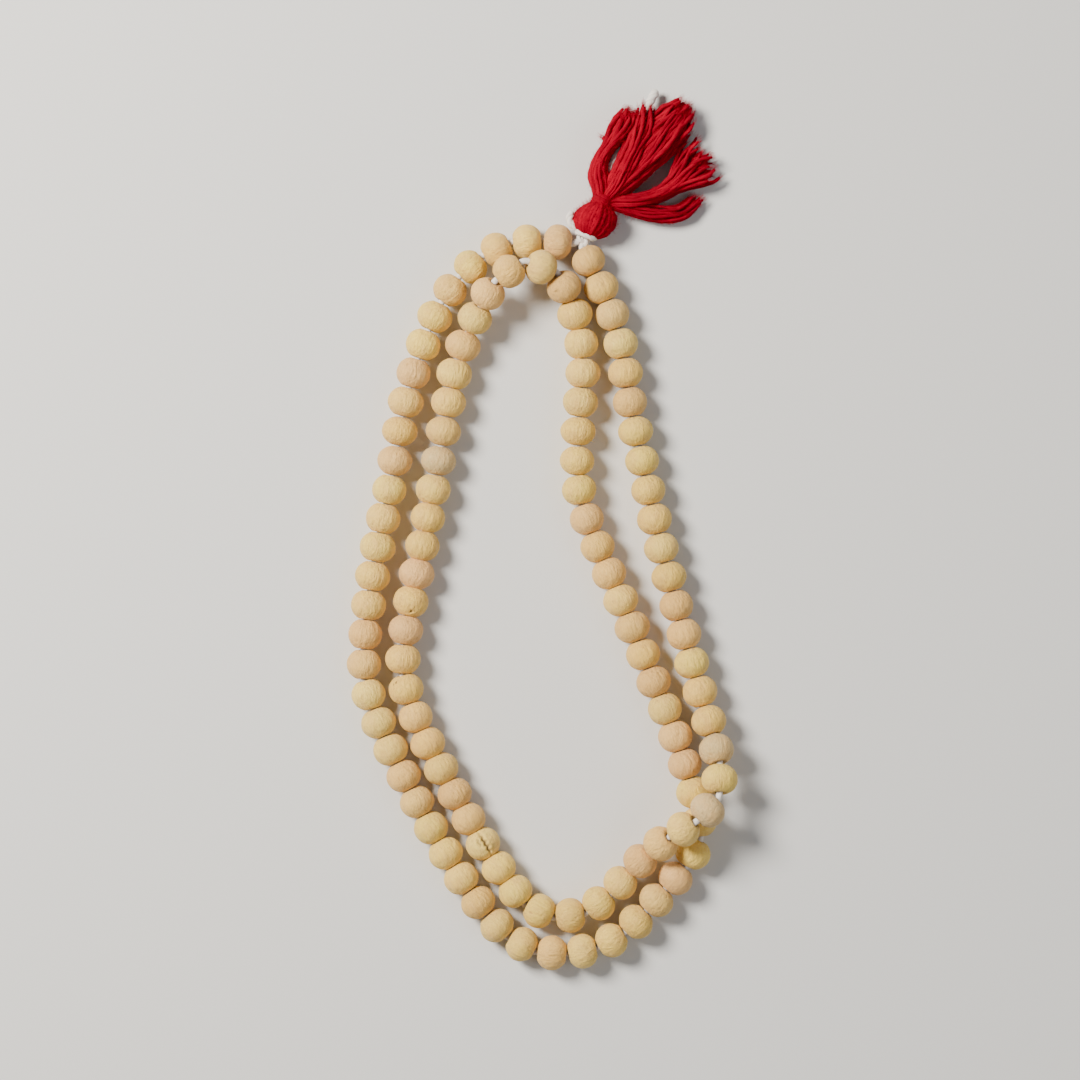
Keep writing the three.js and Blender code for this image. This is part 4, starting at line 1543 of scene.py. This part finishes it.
@dataclass
class Tassel:
    """The tassel: its knotted foot, wound head, neck, tail of cord and fringe.

    Attributes:
        head_length: How long the head is.
        inner_strands: How many thick yarns fill the head.
        head_strands: How many yarns cover it.
        winding_radius: Half the thickness of the neck's yarn and of the knot's cord.
        foot_radius: Half the thickness of the cord round the foot.
        knot_size: How far the knot's line goes for each unit of its formula.
        locks: The fringe's locks.
    """

    head_length: float = 0.0080
    inner_strands: int = 10
    head_strands: int = 40
    winding_radius: float = 0.00056
    foot_radius: float = 0.00052
    knot_size: float = 0.00042
    locks: tuple[Lock, ...] = LOCKS

    def head(self, finishes: Finishes) -> None:
        """Makes the head: yarns folded over the foot, bulging, and drawn in at the neck.

        The yarns' distance from the axis follows a rounded bell from foot to neck. Three broad folds
        round the head raise and lower it, and the yarns lean a little round the axis. A thicker layer of
        yarns fills the middle, and only the outer one has loose fibres.

        Args:
            finishes: The object's finishes.
        """
        rng = np.random.default_rng(8)
        skin, roots = Skin(), Roots()
        share = np.linspace(0, 1, 44)
        places, sizes = (0, 0.08, 0.22, 0.45, 0.68, 0.87, 1.0), (2.0, 2.9, 3.75, 4.1, 3.55, 2.15, 1.4)
        bulge = np.interp(share, places, sizes) / 1000
        lean = np.interp(share, (0, 0.25, 0.75, 1), (-0.5, -0.5, 0.3, 0.0)) / 1000
        for layer, (inner, count) in enumerate(((0.55, self.inner_strands), (1.0, self.head_strands))):
            for k in range(count):
                angle = 2 * math.pi * (k + 0.5 * layer) / count + 0.35 * share + rng.uniform(-0.05, 0.05)
                fold = 1 + 0.09 * np.cos(3 * angle + 0.6) + 0.05 * np.cos(2 * angle - 1.0)
                thick = rng.uniform(0.00055, 0.00075) + 0.0008 * (1 - layer)
                radius = thick * np.interp(share, (0, 0.2, 0.75, 1), (0.7, 1.0, 1.0, 0.55))
                away = bulge * inner * fold + rng.uniform(-0.00010, 0.00012)
                flat = away * np.interp(share, (0, 0.5, 1), (1.0, 0.98, 1.0))
                line = on_tassel(-0.0003) + np.outer(share * self.head_length, TASSEL_ALONG)
                line += (away * np.cos(angle) + lean)[:, None] * TASSEL_RIGHT
                line += (flat * np.sin(angle))[:, None] * UPRIGHT
                line[:, 2] = np.maximum(line[:, 2], radius + FLOOR_CLEARANCE)
                YARN_PLY.sweep(skin, line, radius, any_start(rng), side_reference(line), rng.uniform(0, 1))
                if layer:
                    picked = rng.integers(4, 42, 26)
                    run = (line[picked] - FOOT_AT) @ TASSEL_ALONG
                    out = unit(line[picked] - (FOOT_AT + np.outer(run, TASSEL_ALONG)))
                    roots.add(line[picked] + out * radius[picked, None] * 0.85, out, TASSEL_ALONG)
        WOOL_FUZZ.grow(skin, rng, roots, 0.3)
        settle(skin.piece("head_of_yarn", finishes.wool), Slot.WOOL, "tassel", "tassel_head")

    def neck(self, finishes: Finishes) -> None:
        """Makes the yarn wound three times round the neck.

        Args:
            finishes: The object's finishes.
        """
        skin, roots = Skin(), Roots()
        line = wound(on_tassel(self.head_length - 0.0001), (0.0020, 0.0020), 3.0, 0.0019, 2.0)
        YARN_PLY.sweep(skin, line, self.winding_radius, 0.0, side_reference(line), 0.65)
        rng = np.random.default_rng(9)
        picked = rng.integers(4, len(line) - 4, 70)
        out = unit(line[picked] - on_tassel(self.head_length))
        roots.add(line[picked] + out * 0.0005, out, TASSEL_ALONG)
        WOOL_FUZZ.grow(skin, rng, roots, 0.5)
        settle(skin.piece("neck_winding", finishes.wool), Slot.WOOL, "tassel", "neck_binding")

    def foot(self, finishes: Finishes) -> None:
        """Makes the cord wound round the foot, the knot below it and the knot's bent end beside it.

        The knot is a trefoil: the sine of the angle plus twice the sine of double the angle, the cosine
        less twice the cosine of double the angle, and the sine of three times the angle for its depth.

        Args:
            finishes: The object's finishes.
        """
        skin = Skin()
        line = wound(on_tassel(-0.0005, -0.0005), (0.0022, 0.0019), 2.3, 0.0011, 0.5)
        COTTON_PLY.sweep(skin, line, self.foot_radius, 0.0, side_reference(line), 0.2)
        settle(skin.piece("foot_winding", finishes.cotton), Slot.COTTON, "tassel", "foot_wrap")
        skin = Skin()
        turn = np.linspace(0, 2 * math.pi, 120)
        sides = [np.sin(turn) + 2 * np.sin(2 * turn), np.cos(turn) - 2 * np.cos(2 * turn)]
        trefoil = np.stack([*sides, -np.sin(3 * turn)], axis=1)
        line = evenly(KNOT_AT + self.knot_size * trefoil, FINE_STEP)
        COTTON_PLY.sweep(skin, line, self.winding_radius, 0.0, side_reference(line), 0.3)
        settle(skin.piece("joining_knot", finishes.cotton), Slot.COTTON, "knot", "string_knot")
        self._knot_end(finishes)

    @staticmethod
    def _knot_end(finishes: Finishes) -> None:
        """Makes the short bent end of cord beside the head, frayed at its tip.

        Args:
            finishes: The object's finishes.
        """
        skin = Skin()
        line = evenly(smooth_line(np.array(KNOT_END)), FINE_STEP)
        share = np.linspace(0, 1, len(line))
        radius = 0.00088 * np.interp(share, (0, 0.3, 0.85, 1), (0.7, 1.05, 1.0, 0.75))
        COTTON_PLY.sweep(skin, line, radius, 0.5, UPRIGHT, 0.15)
        fray(skin, np.random.default_rng(10), line, 0.00045, 46)
        settle(skin.piece("knot_end", finishes.cotton), Slot.COTTON, "knot", "side_knot")

    @staticmethod
    def tail_cord(finishes: Finishes) -> None:
        """Its plies open a little over its last few millimetres, where it is thicker.

        Args:
            finishes: The object's finishes.
        """
        inside = [on_tassel(0.0004), on_tassel(0.004), on_tassel(0.0088)]
        line = evenly(smooth_line(np.vstack([inside, np.array(TAIL) + REST]), 60), FINE_STEP)
        skin = Skin()
        left = distances(line)[-1] - distances(line)
        radius = CORD_RADIUS * np.interp(left, (0, 0.0004, 0.0030, 0.0055), (1.1, 1.32, 1.3, 1.0))
        COTTON_PLY.sweep(skin, line, radius, 0.0, UPRIGHT, 0.1)
        fray(skin, np.random.default_rng(11), line, 0.0006, 60)
        piece = settle(skin.piece("tail", finishes.cotton), Slot.COTTON, "tassel", "tail_cord")

    def build(self, finishes: Finishes) -> None:
        """Makes every piece of the tassel but its tail.

        Args:
            finishes: The object's finishes.
        """
        self.head(finishes)
        self.neck(finishes)
        self.foot(finishes)
        for lock in self.locks:
            lock.build(finishes)


# ---------------------------------------------------------------------------------------------
# Stage
# ---------------------------------------------------------------------------------------------


@dataclass
class Studio:
    """The camera, the floor and the lights.

    Attributes:
        height: The camera's height above the table.
        span: How much of the beads' level the frame takes in.
        centre: What the camera stands over.
        sensor: The width of the camera's sensor, in millimetres.
        floor_half: Half the floor's side.
    """

    height: float = 0.8
    span: float = 0.2468
    centre: tuple[float, float] = (-0.00023, -0.00114)
    sensor: float = 36.0
    floor_half: float = 1.5

    def camera(self) -> None:
        """Adds the camera: straight above the string, up the frame being +Y."""
        lens = bpy.data.cameras.new("camera")
        lens.sensor_width = self.sensor
        lens.lens = self.sensor * (self.height - BEAD_RADIUS) / self.span
        lens.clip_start, lens.clip_end = 0.01, 10.0
        camera = bpy.data.objects.new("camera", lens)
        camera.location = (*self.centre, self.height)
        bpy.context.scene.collection.objects.link(camera)
        bpy.context.scene.camera = camera

    def floor(self) -> None:
        """Adds a plain pale floor."""
        mesh = bpy.data.meshes.new("floor")
        half = self.floor_half
        corners = [(x * half, y * half, -0.0001) for x, y in ((-1, -1), (1, -1), (1, 1), (-1, 1))]
        mesh.from_pydata(corners, [], [(0, 1, 2, 3)])
        paint = Graph.new("pale floor")
        paint.set(Base_Color=(0.72, 0.715, 0.70, 1), Roughness=0.85, Specular_IOR_Level=0.1)
        mesh.materials.append(paint.material)
        floor = bpy.data.objects.new("floor", mesh)
        bpy.context.scene.collection.objects.link(floor)

    def lights(self) -> None:
        """Adds a soft key light from the upper left, a weaker fill from the right, and a dim sky."""
        for name, place, size, power, colour in (
            ("key", (-0.48, 0.30, 0.62), 0.30, 16.2, (1.0, 0.955, 0.88)),
            ("fill", (0.55, -0.25, 0.60), 0.60, 1.8, (0.96, 0.97, 1.0)),
        ):
            lamp = bpy.data.lights.new(name, "AREA")
            lamp.shape, lamp.size, lamp.energy, lamp.color = "DISK", size, power, colour
            light = bpy.data.objects.new(name, lamp)
            light.location = place
            light.rotation_euler = (-Vector(place)).to_track_quat("-Z", "Y").to_euler()
            bpy.context.scene.collection.objects.link(light)
        world = bpy.data.worlds.new("sky")
        world.use_nodes = True
        sky = world.node_tree.nodes["Background"].inputs
        sky["Color"].default_value, sky["Strength"].default_value = (0.97, 0.98, 1.0, 1), 0.17
        bpy.context.scene.world = world


def main() -> None:
    """Builds the stage, the string and the tassel."""
    logging.basicConfig(level=logging.INFO, format="%(name)s: %(message)s")
    studio, tassel, string = Studio(), Tassel(), String()
    studio.camera()
    finishes = Finishes()
    tassel.tail_cord(finishes)
    string.beads(finishes)
    string.cords(finishes)
    tassel.build(finishes)
    studio.floor()
    studio.lights()


if __name__ == "__main__":
    main()
